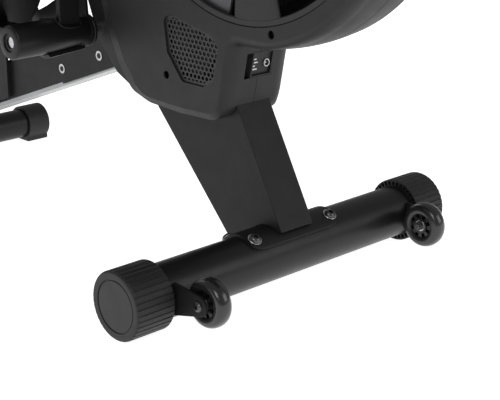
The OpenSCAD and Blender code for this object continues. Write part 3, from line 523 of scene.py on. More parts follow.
def make_looks(p):
    """Every finish of the machine, from the colours in the settings."""
    shell, paint = np.array(p.shell_colour[:]), np.array(p.paint_colour[:])
    return {
        "shell": grained("Moulded shell", shell, 0.52, grain=1500, depth=0.06, specular=0.28),
        "guard": grained("Guard plastic", shell * 1.05, 0.45, grain=1800, depth=0.04, specular=0.3),
        "cap": grained("Cap plastic", shell * 1.15, 0.5, grain=1300, depth=0.08, specular=0.28),
        "cap_face": grained("Cap disc", shell * 1.3, 0.46, grain=2000, depth=0.03, specular=0.28),
        "grille": grained("Vent plate", shell * 1.3, 0.42, grain=2200, depth=0.03, specular=0.35),
        "paint": grained("Powder coat", paint, 0.48, grain=2600, depth=0.05, specular=0.2, tint=0.06),
        "tube": grained("Tube paint", paint * 0.8, 0.36, grain=2600, depth=0.025, specular=0.26, tint=0.05),
        "pedal": grained("Pedal plastic", shell * 0.4, 0.42, grain=1600, depth=0.05, specular=0.25),
        "tyre": grained("Cast tyre", shell * 0.8, 0.22, grain=700, depth=0.02, specular=0.45, Coat_Weight=0.25),
        "hub": grained("Wheel hub", shell * 0.45, 0.26, grain=1500, depth=0.03, specular=0.45),
        "fan": grained("Fan plastic", shell * 0.35, 0.5, grain=1200, depth=0.05, specular=0.3),
        "belt": grained("Belt rubber", (0.012, 0.012, 0.012), 0.7, grain=900, depth=0.1, specular=0.2),
        "nylon": grained("Nylon roller", (0.5, 0.5, 0.48), 0.3, grain=1500, depth=0.02, specular=0.45),
        "button": grained("Soft button", (0.11, 0.11, 0.115), 0.6, grain=1900, depth=0.04, specular=0.25),
        "dark_steel": grained("Phosphated steel", (0.1, 0.1, 0.105), 0.5, metal=0.7, grain=1700, specular=0.4),
        "black_screw": grained("Black screw", (0.012, 0.012, 0.012), 0.4, metal=0.5, grain=1500, specular=0.3),
        "bolt": grained("Blackened bolt", (0.09, 0.09, 0.092), 0.3, metal=0.9, grain=2000, depth=0.01, specular=0.5),
        "zinc": brushed("Zinc plate", (0.44, 0.44, 0.45), 0.3, axis=1),
        "steel": brushed("Machined steel", (0.5, 0.5, 0.51), 0.28, axis=2),
        "aluminium": brushed("Satin aluminium", (0.33, 0.335, 0.34), 0.38, axis=1),
        "webbing": woven("Black webbing", (0.018, 0.018, 0.019)),
        "foam": cellular("Grip foam", (0.018, 0.018, 0.019), 0.8, 1.4, 0.25, 0.2, 0.15),
        "vinyl": cellular("Seat vinyl", (0.02, 0.02, 0.021), 0.48, 2.2, 0.18, 0.35),
        "screen": grained("Display window", (0.012, 0.016, 0.018), 0.08, grain=300, depth=0.005, specular=0.5),
        "mark": grained("Printed mark", (0.75, 0.75, 0.75), 0.5, grain=1500, depth=0.01),
    }


LOOKS = {}


def refine(node, body, look, width):
    """A CAD node's own shape with softened edges: its triangles are merged and its flat faces joined first."""
    obj = placed(node + "_finished", NODES[node].data.copy())
    bm = bmesh.new()
    bm.from_mesh(obj.data)
    bmesh.ops.remove_doubles(bm, verts=bm.verts, dist=5e-6)
    bmesh.ops.recalc_face_normals(bm, faces=bm.faces)
    bmesh.ops.dissolve_limit(bm, angle_limit=np.radians(0.5), verts=bm.verts, edges=bm.edges)
    for face in bm.faces:
        face.smooth = True
    bm.to_mesh(obj.data)
    bm.free()
    bevel(obj, width, 2)
    return settle(obj, body, look, (node,))


def finish_node(node, look):
    """Gives a CAD node its finish, for where it is shown as it is."""
    obj = NODES[node]
    obj.data.materials.clear()
    obj.data.materials.append(look)


# ---- housing ----

SIDE_X = 55.0  # half width over the raised sides
EDGE_X = 34.0  # where the side starts to round off round the fan
BEVEL_X = 50.0  # where the lobe's bevel starts
BASE_X = 36.0  # half width of the narrow shell under and behind the body
SEAM_W = 0.7  # width and depth of one half's share of the seam
WALL = 3.0
SIDE_R = 250.0
GUARD_R = 225.0
VENT = [(168, 334), (150, 340), (76, 323), (62, 310), (73, 264), (92, 254), (133, 254), (162, 289)]
SCREWS = [(164, 258), (-31, 340), (300, 380), (322, 560), (-154, 724), (62, 799)]
LOBE = [
    (38, 319.1, 14), (54, 240, 60), (62, 212, 30), (144, 209.5, 200), (206, 212, 60), (242, 223, 30),
    (267, 250, 60), (290, 296, 90), (305, 338, 120), (330, 400, 150), (348, 480, 150), (345, 570, 150),
    (318, 660, 120), (270, 738, 120), (200, 788, 120), (118, 799, 0),
]
BASE = [
    (42, 330, 0), (44, 298, 30), (58, 239, 20), (78, 222, 20), (262, 221, 20), (294, 236, 20), (336, 284, 30),
    (368, 360, 60), (385, 450, 60), (385, 600, 60), (372, 668, 60), (330, 740, 60), (260, 790, 60), (180, 806, 60),
    (100, 800, 0), (21, 568.5, 0),
]


def smooth(value):
    """Ramp from 0 to 1 with level ends."""
    value = np.clip(value, 0, 1)
    return value * value * (3 - 2 * value)


def side_outline():
    """Outline of the raised side: the fan circle, and the lobe that runs down to the neck and up the back."""
    turn = np.radians(np.linspace(73, 272, 90))
    arc = np.stack([FAN[0] + SIDE_R * np.cos(turn), FAN[1] + SIDE_R * np.sin(turn), 0 * turn], -1)
    return resample(fillet(np.concatenate([arc, LOBE]), 12), 5.0)


def side_solid(thin):
    """Half of the housing's body, shrunk by thin: the side outline carried from the seam to the flat side.

    Each outline point moves along its outward normal by an offset that depends on x. Round the fan the section is a
    quarter ellipse over a shallow crown, on the lobe it is a straight bevel, and in front it is a wide quarter
    ellipse."""
    line = side_outline()
    normal = outward(line)
    from_fan = np.linalg.norm(line - FAN, axis=1)
    on_circle = smooth(1 - np.abs(from_fan - SIDE_R) / 6) * (line[:, 1] > 310)
    front = smooth((70 - line[:, 0]) / 12) * smooth((322 - line[:, 1]) / 8) * smooth((line[:, 1] - 205) / 25)
    kernel = np.array([1, 2, 3, 2, 1]) / 9
    on_circle, front = (
        np.convolve(np.concatenate([value[-2:], value, value[:2]]), kernel, "valid") for value in (on_circle, front)
    )
    lobe = np.clip(1 - on_circle - front, 0, 1)
    turn = np.radians(np.linspace(90, 0, 24))
    rounded = EDGE_X + (SIDE_X - EDGE_X) * np.sin(turn)
    straight = EDGE_X * (1 - np.linspace(0.2, 1, 6))
    x = np.unique(np.concatenate([rounded, straight, [SEAM_W, BEVEL_X]]))[::-1]
    swing = np.sqrt(np.clip(1 - ((x - EDGE_X) / (SIDE_X - EDGE_X)).clip(0) ** 2, 0, 1))
    crown = 4.2 + 2.8 * (1 - (np.minimum(x, EDGE_X) / EDGE_X) ** 2) - 12.2 * (1 - swing)
    wide = 9 + 10 * smooth((line[:, 0] - 215) / 40) * (line[:, 1] < 700)
    slope = np.clip((x - BEVEL_X) / (SIDE_X - BEVEL_X), 0, 1)
    seam = SEAM_W * (x < SEAM_W / 2)
    offset = (crown - seam)[:, None] * on_circle - seam[:, None] * (1 - on_circle)
    offset = offset - 11 * (1 - swing)[:, None] * front - slope[:, None] * wide * lobe
    grid = np.empty((len(x), len(line), 3))
    grid[..., 1:] = line + normal * (offset - thin)[..., None]
    grid[..., 0] = (x - thin * (x > 1))[:, None]
    grid[-1, :, 0] = -1.0 if thin else 0.0
    return Shape().grid(grid, wrap_v=True, caps=True)


def base_solid(thin):
    """Half of the narrow shell under and behind the body, shrunk by thin, with a rounded edge."""
    line = resample(fillet(BASE, 10), 8.0)
    normal = outward(line, 0)
    turn = np.radians(np.linspace(90, 0, 6))
    x = np.append(BASE_X - 3 + 3 * np.sin(turn), [SEAM_W, 0.0])
    offset = np.append(-3 + 3 * np.cos(turn), [0.0, -SEAM_W]) - thin
    grid = np.empty((len(x), len(line), 3))
    grid[..., 1:] = line + normal * offset[:, None, None]
    grid[..., 0] = (x - thin * (x > 1))[:, None]
    grid[-1, :, 0] = -1.0 if thin else 0.0
    return Shape().grid(grid, wrap_v=True, caps=True)


def scratch(shape, name):
    """A shape as an object that is only used to make another."""
    return placed(name, shape.mesh(name))


def combine(obj, other, operation):
    """Boolean of a piece with another object, which is used up."""
    mod = obj.modifiers.new("combine", "BOOLEAN")
    mod.object = other
    mod.operation = operation
    mod.solver = "EXACT"
    bpy.context.view_layer.update()
    applied(obj)
    bpy.data.objects.remove(other)
    return obj


def beam_outline(grow):
    """Side outline of the neck's slot in the housing, on the beam's sloping line."""
    lean = np.radians(20.5)
    half = (32 + grow) / np.cos(lean)
    y = np.array([225.0 - grow, 470.0])
    mid = 269 - (y - 314) * np.tan(lean)
    return [(y[0], mid[0] - half), (y[1], mid[1] - half), (y[1], mid[1] + half), (y[0], mid[0] + half)]


LEG_LINE = [(-26, 79.5), (74.6, 50.6), (219, 207), (262, 300), (93, 300)]


def housing_tools():
    """Shapes that pass through the right half's walls, one after another."""
    inlet = mm_box("inlet_panel")
    mast = mm_box("mast")
    tools = [
        turned([(10, GUARD_R), (60, GUARD_R)], FAN, 160),
        prism(fillet([(y, z, 9) for y, z in VENT], 7), SIDE_X - 10, SIDE_X + 5),
        prism(LEG_LINE, -40, 29.4),
        prism(beam_outline(0.4), -40, 31.9),
        turned([(-1, 20.4), (31.9, 20.4)], PEDAL, 64),
        turned([(-1, 9.0), (60, 9.0)], PEDAL, 48),
        block((-1, 17), (360, 420), (614, 626)),
        block((-1, mast[1][0] + 0.4), (240, 290), (700, 850)),
        block((-1, inlet[1][0]), (20, 70), (inlet[0][2], inlet[1][2])),
    ]
    return tools + [turned([(20, 5.4), (60, 5.4)], hole, 32) for hole in SCREWS]


def housing_half(side, look):
    """One moulded half: the body joined to its base shell, hollowed, and cut where other parts pass."""
    word = SIDE_NAMES[side]
    shell = scratch(side_solid(0.0), word + "_housing_shell")
    combine(shell, scratch(base_solid(0.0), "base"), "UNION")
    hollow = scratch(side_solid(WALL), "hollow")
    combine(hollow, scratch(base_solid(WALL), "base"), "UNION")
    combine(shell, hollow, "DIFFERENCE")
    for tool in housing_tools():
        combine(shell, scratch(tool, "tool"), "DIFFERENCE")
    if side < 0:
        mirror_across(shell)
    tidy_mesh(shell.data, 10.0)
    flat = shell.modifiers.new("flat sides", "WEIGHTED_NORMAL")
    flat.keep_sharp = True
    return settle(shell, "frame", look, ("housing_" + word,))


def inlet_marks(look):
    """Four plain bars beside the jack, just proud of the recess's sloping floor."""
    low = mm_box("inlet_panel")[0]
    z_mid = middle_of("dc_jack")[1]
    slope = -7.0 / 30.0
    shape = Shape()
    for row, (start, length) in enumerate([(-8.5, 5.0), (-7.0, 6.5), (-8.5, 4.0), (-7.5, 7.0)]):
        z = z_mid + 7 - 4.6 * row
        y = 52 + slope * (z - low[2] - 2)
        shape.joined(block((start, start + length), (y - 0.25, y + 0.3), (z - 0.8, z + 0.8)))
    return shape.piece("inlet_marks", "frame", look, "steel")


def mirror_across(obj):
    """Mirrors a mesh across the machine's middle plane."""
    points = vertex_places(obj.data)
    points[:, 0] *= -1
    obj.data.vertices.foreach_set("co", points.ravel())
    obj.data.flip_normals()


def guard(side, look, spokes, spread):
    """Ring, hub and tapered spokes over one fan opening, with every edge rounded."""
    x0, x1 = SIDE_X - 6, SIDE_X - 0.3
    ring_in = GUARD_R - 9
    shape = turned(ring_profile(x0, x1, ring_in, GUARD_R - 0.3, 1.2), FAN, 180, ring=True)
    shape.joined(turned(bar_profile(x0, x1 + 1.5, 42, 2.0), FAN, 96))
    reach = np.linspace(38, ring_in + 3, 12)
    for k in range(spokes):
        lean = np.radians(-97 + k * 360 / spokes)
        half = 12 + (ring_in * np.sin(np.radians(spread / 2)) - 12) * (reach - 38) / (ring_in - 35)
        shape.joined(spoke(reach, half, lean, x0, x1))
    return shape.on_side(side).piece(SIDE_NAMES[side] + "_fan_guard", "frame", look, "housing_plastic")


def spoke(reach, half, lean, x0, x1):
    """Tapered arm: a rounded oblong section, half wide at each radius, carried outwards along the angle lean."""
    turn = circle(24)
    wide = squared(np.cos(turn), 0.35)
    deep = squared(np.sin(turn), 0.5)
    grid = np.empty((len(reach), 24, 3))
    grid[..., 0] = (x0 + x1) / 2 + deep * (x1 - x0 - 1) / 2
    out = np.array([np.cos(lean), np.sin(lean)])
    across = np.array([-out[1], out[0]])
    grid[..., 1:] = FAN + reach[:, None, None] * out + (half[:, None] * wide)[..., None] * across
    return Shape().grid(grid, wrap_v=True, caps=True)


# ---- front foot ----

SADDLE_BOLTS = (27.0, -54.0)
CAP_LEN = 56.0


def front_tube(look):
    """Steel tube, open at both ends inside its caps."""
    half = TUBE_HIGH[0] / MM
    shape = turned(ring_profile(-half, half, TUBE_R - 2.5, TUBE_R, 0.4), (0, TUBE_Z), 128, ring=True)
    return shape.piece("stabiliser_tube", "frame", look, "black_tube", ("front_tube",))


def fluted_cap(side, flutes, look):
    """Cup with flat flutes round it, ribbed pockets at its open end and a groove round its end disc.

    The radius is the flute's flat, R cos(half step) / cos(angle from its middle), less a narrow groove at each
    border; pockets are steps along x in the ring between the tube and the rim."""
    low, high = mm_box("front_caps")
    x1, r = high[0], (high[2] - low[2]) / 2
    per = 10
    n = flutes * per
    phase = (np.arange(n) % per + 0.5) / per - 0.5
    step = 2 * np.pi / flutes
    flat = r * np.cos(step / 2) / np.cos(phase * step) - r - 1.0 * (np.abs(phase) > 0.42)
    x0 = x1 - CAP_LEN
    turn = np.radians(np.linspace(0, 90, 6))
    body = [(x0 + 1.2 - 1.2 * np.cos(a), r - 1.2 + 1.2 * np.sin(a)) for a in turn] + [(x0 + 3, r), (x1 - 4, r)]
    body += [(x1 - 3.5 + 3.5 * np.sin(a), r - 3.5 + 3.5 * np.cos(a)) for a in turn[1:]]
    face = [(x1, 38), (x1 - 0.2, 33.6), (x1 - 1.4, 33.3), (x1 - 1.4, 32.0), (x1 - 1.4, 5)]
    inside = [(x1 - 6, 5), (x1 - 6, TUBE_R + 0.1), (x0 + 9, TUBE_R + 0.1), (x0, TUBE_R + 0.1), (x0, TUBE_R + 1.2)]
    pocket = [(x0, TUBE_R + 1.3), (x0, r - 2.6), (x0, r - 2.5)]
    profile = body + face + inside + pocket
    swell = np.zeros((len(profile), n))
    swell[1:len(body) - 3] = flat
    swell[len(body) - 3:len(body)] = flat * np.array([0.7, 0.4, 0.1])[:, None]
    grid = lathe(profile, (0, TUBE_Z), n, swell)
    deep = np.where(np.abs(phase) < 0.34, 8.0, 0.0)
    grid[-3, :, 0] += deep
    grid[-2, :, 0] += deep
    shape = Shape().grid(grid, wrap_u=True, wrap_v=True)
    disc = turned([(x1 - 1.6, 2), (x1 - 1.6, 32.0), (x1 - 0.9, 32.0), (x1 - 0.5, 31.4), (x1 - 0.4, 2)], (0, TUBE_Z))
    name = SIDE_NAMES[side] + "_front_cap"
    shape.on_side(side).piece(name, "frame", look["cap"], "cap_plastic", ("front_caps",), 20.0)
    disc.on_side(side).piece(name + "_disc", "frame", look["cap_face"], "cap_plastic")


def saddle(look):
    """Curved plate on the tube; its half width in angle narrows round the bolts at both ends.

    Its section at each x is an arc between the tube's radius and 4 mm more."""
    x = 79 * np.sin(np.linspace(-np.pi / 2, np.pi / 2, 41))
    end = np.sqrt(1 - np.clip((np.abs(x) - 59) / 20, 0, 1) ** 2)
    front = -np.radians(SADDLE_BOLTS[0] + 3 + 22 * end)
    rear = np.radians(-SADDLE_BOLTS[1] + 3 + 16 * end)
    side = np.linspace(0, 1, 61)
    r_out, r_in = TUBE_R + 4, TUBE_R + 0.05
    share = np.concatenate([side, side[::-1]])
    r = np.concatenate([np.full(61, r_out), np.full(61, r_in)])
    r[[0, 60]] -= 0.8
    arc = front[:, None] + (rear - front)[:, None] * share
    grid = np.empty((41, 122, 3))
    grid[..., 0] = x[:, None]
    grid[..., 1] = r * np.sin(arc)
    grid[..., 2] = TUBE_Z + r * np.cos(arc)
    shape = Shape().grid(grid, wrap_v=True, caps=True)
    return shape.piece("saddle_shell", "frame", look, "black_paint", ("saddle_plate",), 40.0)


def button_head(seat, size=1.0):
    """Domed screw head about +X that sits at seat, with a hex socket: the last rings follow a hexagon's radius."""
    head = [(-12, 0.5), (-12, 4.2), (0, 4.2), (0, 7.3), (0.6, 7.6), (1.6, 7.3), (3.2, 6.2), (4.3, 4.6), (4.4, 3.4),
            (1.4, 3.2), (1.4, 0.5)]
    points = lathe([(seat + x * size, r * size) for x, r in head], (0, 0), 48)
    points[-3:-1, :, 1:] *= hexagon(48)[None, :, None] * 1.05
    return points


def saddle_bolts(look):
    """Washer and button head of the four bolts that point out of the tube."""
    heads, washers = Shape(), Shape()
    head = button_head(TUBE_R + 5.4)
    washer = lathe(ring_profile(TUBE_R + 4.1, TUBE_R + 5.4, 4.4, 9.4, 0.3), (0, 0), 48)
    for x in (-69, 69):
        for lean in SADDLE_BOLTS:
            axis = (0, -np.sin(np.radians(lean)), np.cos(np.radians(lean)))
            heads.grid(oriented(head, (x, 0, TUBE_Z), axis), wrap_v=True, caps=True)
            washers.grid(oriented(washer, (x, 0, TUBE_Z), axis), wrap_u=True, wrap_v=True)
    heads.piece("saddle_bolt_set", "frame", look["bolt"], "zinc", ("saddle_bolts",), 30.0)
    washers.piece("saddle_washers", "frame", look["zinc"], "zinc", (), 30.0)


def neck_sockets(look):
    """Dark rim and socket on the head of each neck bolt: the front bolt is the higher one."""
    head_r, socket_r = 7.0, 4.3
    low, high = mm_box("neck_bolts")
    rim = ring_profile(high[0] - 0.5, high[0] + 0.4, head_r + 0.1, head_r + 1.2, 0.2)
    shape = Shape()
    for y, z in ((low[1] + head_r, high[2] - head_r), (high[1] - head_r, low[2] + head_r)):
        socket = [(y + socket_r * np.cos(a), z + socket_r * np.sin(a)) for a in circle(6)]
        shape.joined(prism(socket, high[0] - 0.4, high[0] + 0.3))
        shape.joined(turned(rim, (y, z), 48, ring=True))
    shape.joined(shape.mirrored())
    return shape.piece("neck_bolt_sockets", "frame", look, "zinc", (), 30.0)


def wheel_bolts(look):
    """Button head outside each bracket and a low nut with the bolt's end inside the wheel."""
    low = mm_box("right_tyre")[0]
    centre = middle_of("right_tyre")
    outer = mm_box("wheel_brackets")[1][0]
    head = button_head(outer, 0.85)
    head[..., 1:] += centre
    shape = Shape().grid(head, wrap_v=True, caps=True)
    shank = [(low[0] - 5, 1), (low[0] - 5, 3.2), (low[0] - 4, 4), (outer + 1, 4), (outer + 1, 1)]
    shape.grid(lathe(shank, centre, 48), wrap_v=True, caps=True)
    nut = lathe(ring_profile(low[0] - 3, low[0] + 1.5, 3.9, 6.4, 0.5), centre, 48)
    nut[2:6, :, 1:] = centre + (nut[2:6, :, 1:] - centre) * hexagon(48)[None, :, None]
    shape.grid(nut, wrap_u=True, wrap_v=True)
    shape.joined(shape.mirrored())
    return shape.piece("wheel_bolt_set", "frame", look, "zinc", ("wheel_bolts",), 30.0)


def wheel(side, look):
    """Cast tyre with a rounded tread over a hub with eight webs and a bearing."""
    word = SIDE_NAMES[side]
    low, high = mm_box(word + "_tyre")
    centre = middle_of(word + "_tyre")
    x, half, r = (low[0] + high[0]) / 2, (high[0] - low[0]) / 2, (high[2] - low[2]) / 2
    turn = np.radians(np.linspace(-90, 90, 17))
    tread = [(half * np.sin(a) * 0.98, r - 9 + 9 * np.cos(a) ** 0.7) for a in turn]
    inner = r * 0.58
    profile = [(p[0] + x, p[1]) for p in [(-half + 1.5, inner)] + tread + [(half - 1.5, inner)]]
    tyre = turned(profile, centre, 128, ring=True)
    tyre.piece(word + "_tyre_cast", word + "_wheel", look["tyre"], "tyre", (word + "_tyre",), 35.0)
    n, webs = 96, 8
    web = np.abs((np.arange(n) * webs / n) % 1 - 0.5) > 0.2
    rim = [(-half + 2, inner - 0.1), (-half + 2.4, inner - 1.4), (-half + 3, inner - 1.5), (-half + 3, 11)]
    rim += [(-half + 1.2, 10.8), (-half + 1.2, 8.4), (half - 1.2, 8.4), (half - 1.2, 10.8), (half - 3, 11)]
    rim += [(half - 3, inner - 1.5), (half - 2.4, inner - 1.4), (half - 2, inner - 0.1)]
    grid = lathe([(a + x, b) for a, b in rim], centre, n)
    deep = np.where(web, 0.0, half - 6)
    for k, sign in ((2, 1), (3, 1), (8, -1), (9, -1)):
        grid[k, :, 0] += sign * deep
    hub = Shape().grid(grid, wrap_u=True, wrap_v=True)
    hub.piece(word + "_wheel_hub", word + "_wheel", look["hub"], "wheel_hub", (word + "_hub",), 25.0)
    bearing = turned(ring_profile(x - half + 1.6, x + half - 1.6, 4.3, 8.3, 0.7), centre, 64, ring=True)
    bearing.piece(word + "_wheel_bearing", word + "_wheel", look["steel"], "zinc")


# ---- pedals ----

PLATE_MID = (385.0, 415.0)
PLATE_LEAN = np.radians(57)
PLATE_HALF = 145.0


def on_footplate(points):
    """Points drawn with y towards the toes and z out of the tread, set on the leaning footplate."""
    toes = np.array([-np.cos(PLATE_LEAN), np.sin(PLATE_LEAN)])
    out = np.array([np.sin(PLATE_LEAN), np.cos(PLATE_LEAN)])
    moved = np.array(points, float)
    moved[..., 1:] = PLATE_MID + points[..., 1:2] * toes + points[..., 2:3] * out
    return moved


def footplate(x0, x1):
    """Slab with a rounded outline and ribs across its tread: z = rib height times a rounded wave along y."""
    mid, half = (x0 + x1) / 2, (x1 - x0) / 2
    y = np.linspace(-PLATE_HALF, PLATE_HALF, 146)
    v = np.linspace(-1, 1, 25)
    corner = np.clip((np.abs(y) - PLATE_HALF + 26) / 26, 0, 1)
    width = half * (1 - 0.16 * corner**2.2 - 0.1 * smooth((-y + 10) / 60) * smooth((y + 90) / 60))
    rib = 1.6 * smooth(2.2 * np.sin(y * np.pi / 9) + 0.5)
    top = np.stack([mid + width[:, None] * v, y[:, None] + 0 * v, rib[:, None] * (np.abs(v) < 0.9)], -1)
    under = np.stack([mid + width[:, None] * v[::-1], y[:, None] + 0 * v, np.full((146, 25), -12.0)], -1)
    return Shape().grid(on_footplate(np.concatenate([top, under], 1)), wrap_v=True, caps=True)


def heel_cup(x0, x1):
    """Wall round the heel: an arch outline, about 4.5 mm thick, that rises 40 mm and lower at its ends."""
    turn = np.radians(np.linspace(180, 360, 61))
    mid, half = (x0 + x1) / 2, (x1 - x0) / 2
    section = [(0, -11), (0, 10), (1.5, 38), (3, 40), (4.5, 40), (5.6, 38), (4.6, 10), (4.4, -11)]
    line = np.stack([mid + (half - 5.8) * squared(np.cos(turn), 0.5),
                     -85 + (PLATE_HALF - 92) * 1.02 * np.sin(turn)], -1)
    edge = unit(np.gradient(line, axis=0))
    out = np.stack([edge[:, 1], -edge[:, 0]], -1)
    grid = np.empty((61, len(section), 3))
    for k, (push, height) in enumerate(section):
        grid[:, k, :2] = line + out * push
        grid[:, k, 2] = height * (1 - 0.55 * smooth((line[:, 1] + 100) / 30)) if height > 0 else height
    return Shape().grid(on_footplate(grid), wrap_v=True, caps=True)


def body_radius(along):
    """Radius of the pedal's round body at a distance from its inner side: a slow cone."""
    return np.interp(along, [8, 10, 72], [17.6, 18.6, 23.4])


def arm_lip(x0):
    """Raised rim round the arm's foot: a thin tube on a closed loop over the body, from a few points made smooth.

    Each point is a distance along the body and an angle above level, and the loop is their periodic blend."""
    knots = np.array([(74, 92), (64, 86), (61, 66), (58, 44), (50, 33), (33, 31), (24, 38), (21, 56), (22, 78),
                      (34, 108), (58, 118), (74, 108)], float)
    n = len(knots)
    t = np.linspace(0, n, 97)[:-1]
    k = t.astype(int)
    f = (t - k)[:, None]
    a, b, c, d = (knots[(k + shift) % n] for shift in (-1, 0, 1, 2))
    line = 0.5 * (2 * b + (c - a) * f + (2 * a - 5 * b + 4 * c - d) * f**2 + (3 * b - a - 3 * c + d) * f**3)
    turn = np.radians(line[:, 1])
    out = np.stack([0 * turn, -np.cos(turn), np.sin(turn)], -1)
    centre = out * (body_radius(line[:, 0]) + 0.4)[:, None] + [0, *PEDAL]
    centre[:, 0] = x0 + line[:, 0]
    along = unit(np.roll(centre, -1, axis=0) - np.roll(centre, 1, axis=0))
    side = np.cross(along, out)
    ring = circle(10)[None, :, None]
    tube = centre[:, None] + 1.7 * (np.cos(ring) * out[:, None] + np.sin(ring) * side[:, None])
    return Shape().grid(tube, wrap_u=True, wrap_v=True)


def cradle(x0):
    """Thin lip under the body: a sector of a ring that follows the body's cone at a small gap."""
    turn = np.radians(np.linspace(242, 300, 21))
    along = np.array([14, 15.5, 40, 76, 78])
    r_in = body_radius(along) + 1.2
    r_out = r_in + np.array([0.6, 5, 5, 5, 0.6])
    loop = np.concatenate([turn, turn[::-1]])
    radius = np.repeat(np.stack([r_out, r_in], -1), len(turn), axis=1)
    grid = np.empty((len(along), len(loop), 3))
    grid[..., 0] = x0 + along[:, None]
    grid[..., 1] = PEDAL[0] + radius * np.cos(loop)
    grid[..., 2] = PEDAL[1] + radius * np.sin(loop)
    return Shape().grid(grid, wrap_v=True, caps=True)


def pedal(side, look):
    """Pedal that turns on the axle: round body with its flange and lips, arm, web, link, footplate, heel cup."""
    word = SIDE_NAMES[side]
    x0, x1 = (corner[0] for corner in mm_box("right_pedal"))
    plate = mm_box("right_foot_strap")[0][0] - 2
    mid = (plate + x1) / 2
    body = turned(
        [(x0 + 0.2, 8.2), (x0 + 0.2, 21.8), (x0 + 1, 22.8), (x0 + 4.4, 22.8), (x0 + 5.2, 22), (x0 + 5.2, 17),
         (x0 + 7, 16.6), (x0 + 8, 17.6), (x0 + 10, 18.6), (x0 + 72, 23.4), (x1 - 3, 23.4), (x1 - 1, 22.2),
         (x1, 20), (x1, 13), (x1 - 2, 12.5), (x1 - 2, 8.2)],
        PEDAL, 96, ring=True,
    )
    front = PEDAL[0] - 14
    arm = prism([(front, 303), (front + 9, 303), (front + 9, 497), (front, 510)], plate + 16, plate + 50)
    link = prism([(PEDAL[0], PEDAL[1] - 16), (463, 284), (463, 296), (PEDAL[0], PEDAL[1] + 6)], mid - 17, mid + 17)
    web = prism([(323, 300), (331, 276), (455, 284), (455, 300), (417, 317), (352, 352), (330, 372)],
                x0 + 3, x0 + 7)
    parts = {
        "_pedal_web": web, "_pedal_body": body, "_pedal_lip": arm_lip(x0), "_pedal_cradle": cradle(x0),
        "_pedal_arm": arm, "_pedal_link": link, "_footplate": footplate(plate, x1),
        "_heel_cup": heel_cup(plate, x1),
    }
    for tail, shape in parts.items():
        obj = shape.on_side(side).piece(
            word + tail, word + "_foot", look, "pedal_plastic", (word + "_pedal",), 35.0)
        if tail in ("_pedal_arm", "_pedal_link"):
            bevel(obj, 1.5)


def foot_strap(side, look):
    """Webbing over the instep: a flat band on a half circle, down to the tread at both ends."""
    word = SIDE_NAMES[side]
    low, high = mm_box("right_foot_strap")
    mid, r = (low[0] + high[0]) / 2, (high[0] - low[0]) / 2 - 1
    turn = np.radians(np.linspace(-3, 183, 73))
    section = np.array([(-19, 0), (-18.6, 0.8), (18.6, 0.8), (19, 0), (18.6, -0.8), (-18.6, -0.8)])
    grid = np.empty((73, 6, 3))
    radius = r + section[:, 1]
    grid[..., 0] = mid + np.cos(turn)[:, None] * radius
    grid[..., 1] = 20 + section[:, 0]
    grid[..., 2] = 1 + np.sin(turn)[:, None] * radius
    shape = Shape().grid(on_footplate(grid), wrap_v=True, caps=True).on_side(side)
    return shape.piece(word + "_instep_strap", word + "_foot", look, "webbing", (word + "_foot_strap",), 40.0)


# ---- seat ----


def cushion(p, look):
    """Moulded seat: a superellipse in plan, carried through rings from a flat base to a crown, and its welt.

    The plan is x = a cos^0.72, y = b sin^0.72 with the back pulled in at its middle. Each ring is a share of the
    plan at a height; the top has two raised cheeks with a hollow between them."""
    low, high = mm_box("seat_cushion")
    mid = (low + high) / 2
    a, b, t = (high - low) / 2 * np.array([0.985, 0.985, 1.0])
    turn = circle(128)
    plan = np.stack([squared(np.cos(turn), 0.72), squared(np.sin(turn), 0.72)], -1)
    rings = [(0.02, 0), (0.5, 0), (0.86, 0), (0.93, 2), (0.965, 8), (0.985, 16), (1.0, 27), (0.985, 36),
             (0.95, 43), (0.88, 47), (0.76, 48), (0.6, 47), (0.42, 45), (0.22, 44), (0.02, 44)]
    grid = np.empty((len(rings), 128, 3))
    for k, (share, height) in enumerate(rings):
        grid[k, :, 0] = mid[0] + a * share * plan[:, 0]
        grid[k, :, 1] = mid[1] + b * share * plan[:, 1]
        cheek = 6 * np.exp(-((np.abs(share * plan[:, 0]) - 0.5) / 0.28) ** 2) - 3
        dip = 5 * np.exp(-(share * plan[:, 0] / 0.16) ** 2)
        grid[k, :, 2] = low[2] + height * 2 * t / 55 + (cheek - dip) * (height > 40)
    back = smooth((grid[..., 1] - mid[1]) / b) * np.exp(-((grid[..., 0] - mid[0]) / 45) ** 2)
    grid[..., 1] -= 14 * back
    obj = Shape().grid(grid, wrap_v=True, caps=True).piece(
        "seat_pad", "seat", look["vinyl"], "seat_vinyl", ("seat_cushion",), 60.0)
    inflate(obj, low[2], p)
    piping = np.empty((128, 8, 3))
    ring = circle(8)
    edge = np.stack([mid[0] + a * plan[:, 0], mid[1] + b * plan[:, 1]], -1)
    edge[:, 1] -= 14 * smooth((edge[:, 1] - mid[1]) / b) * np.exp(-((edge[:, 0] - mid[0]) / 45) ** 2)
    side = outward(edge, 1)
    piping[..., :2] = edge[:, None, :] + side[:, None, :] * (1.2 * np.cos(ring))[None, :, None]
    piping[..., 2] = low[2] + 27 * 2 * t / 55 + 1.6 * np.sin(ring)
    welt = Shape().grid(piping, wrap_u=True, wrap_v=True)
    welt.piece("seat_welt", "seat", look["vinyl"], "seat_vinyl", (), 70.0)
    return obj


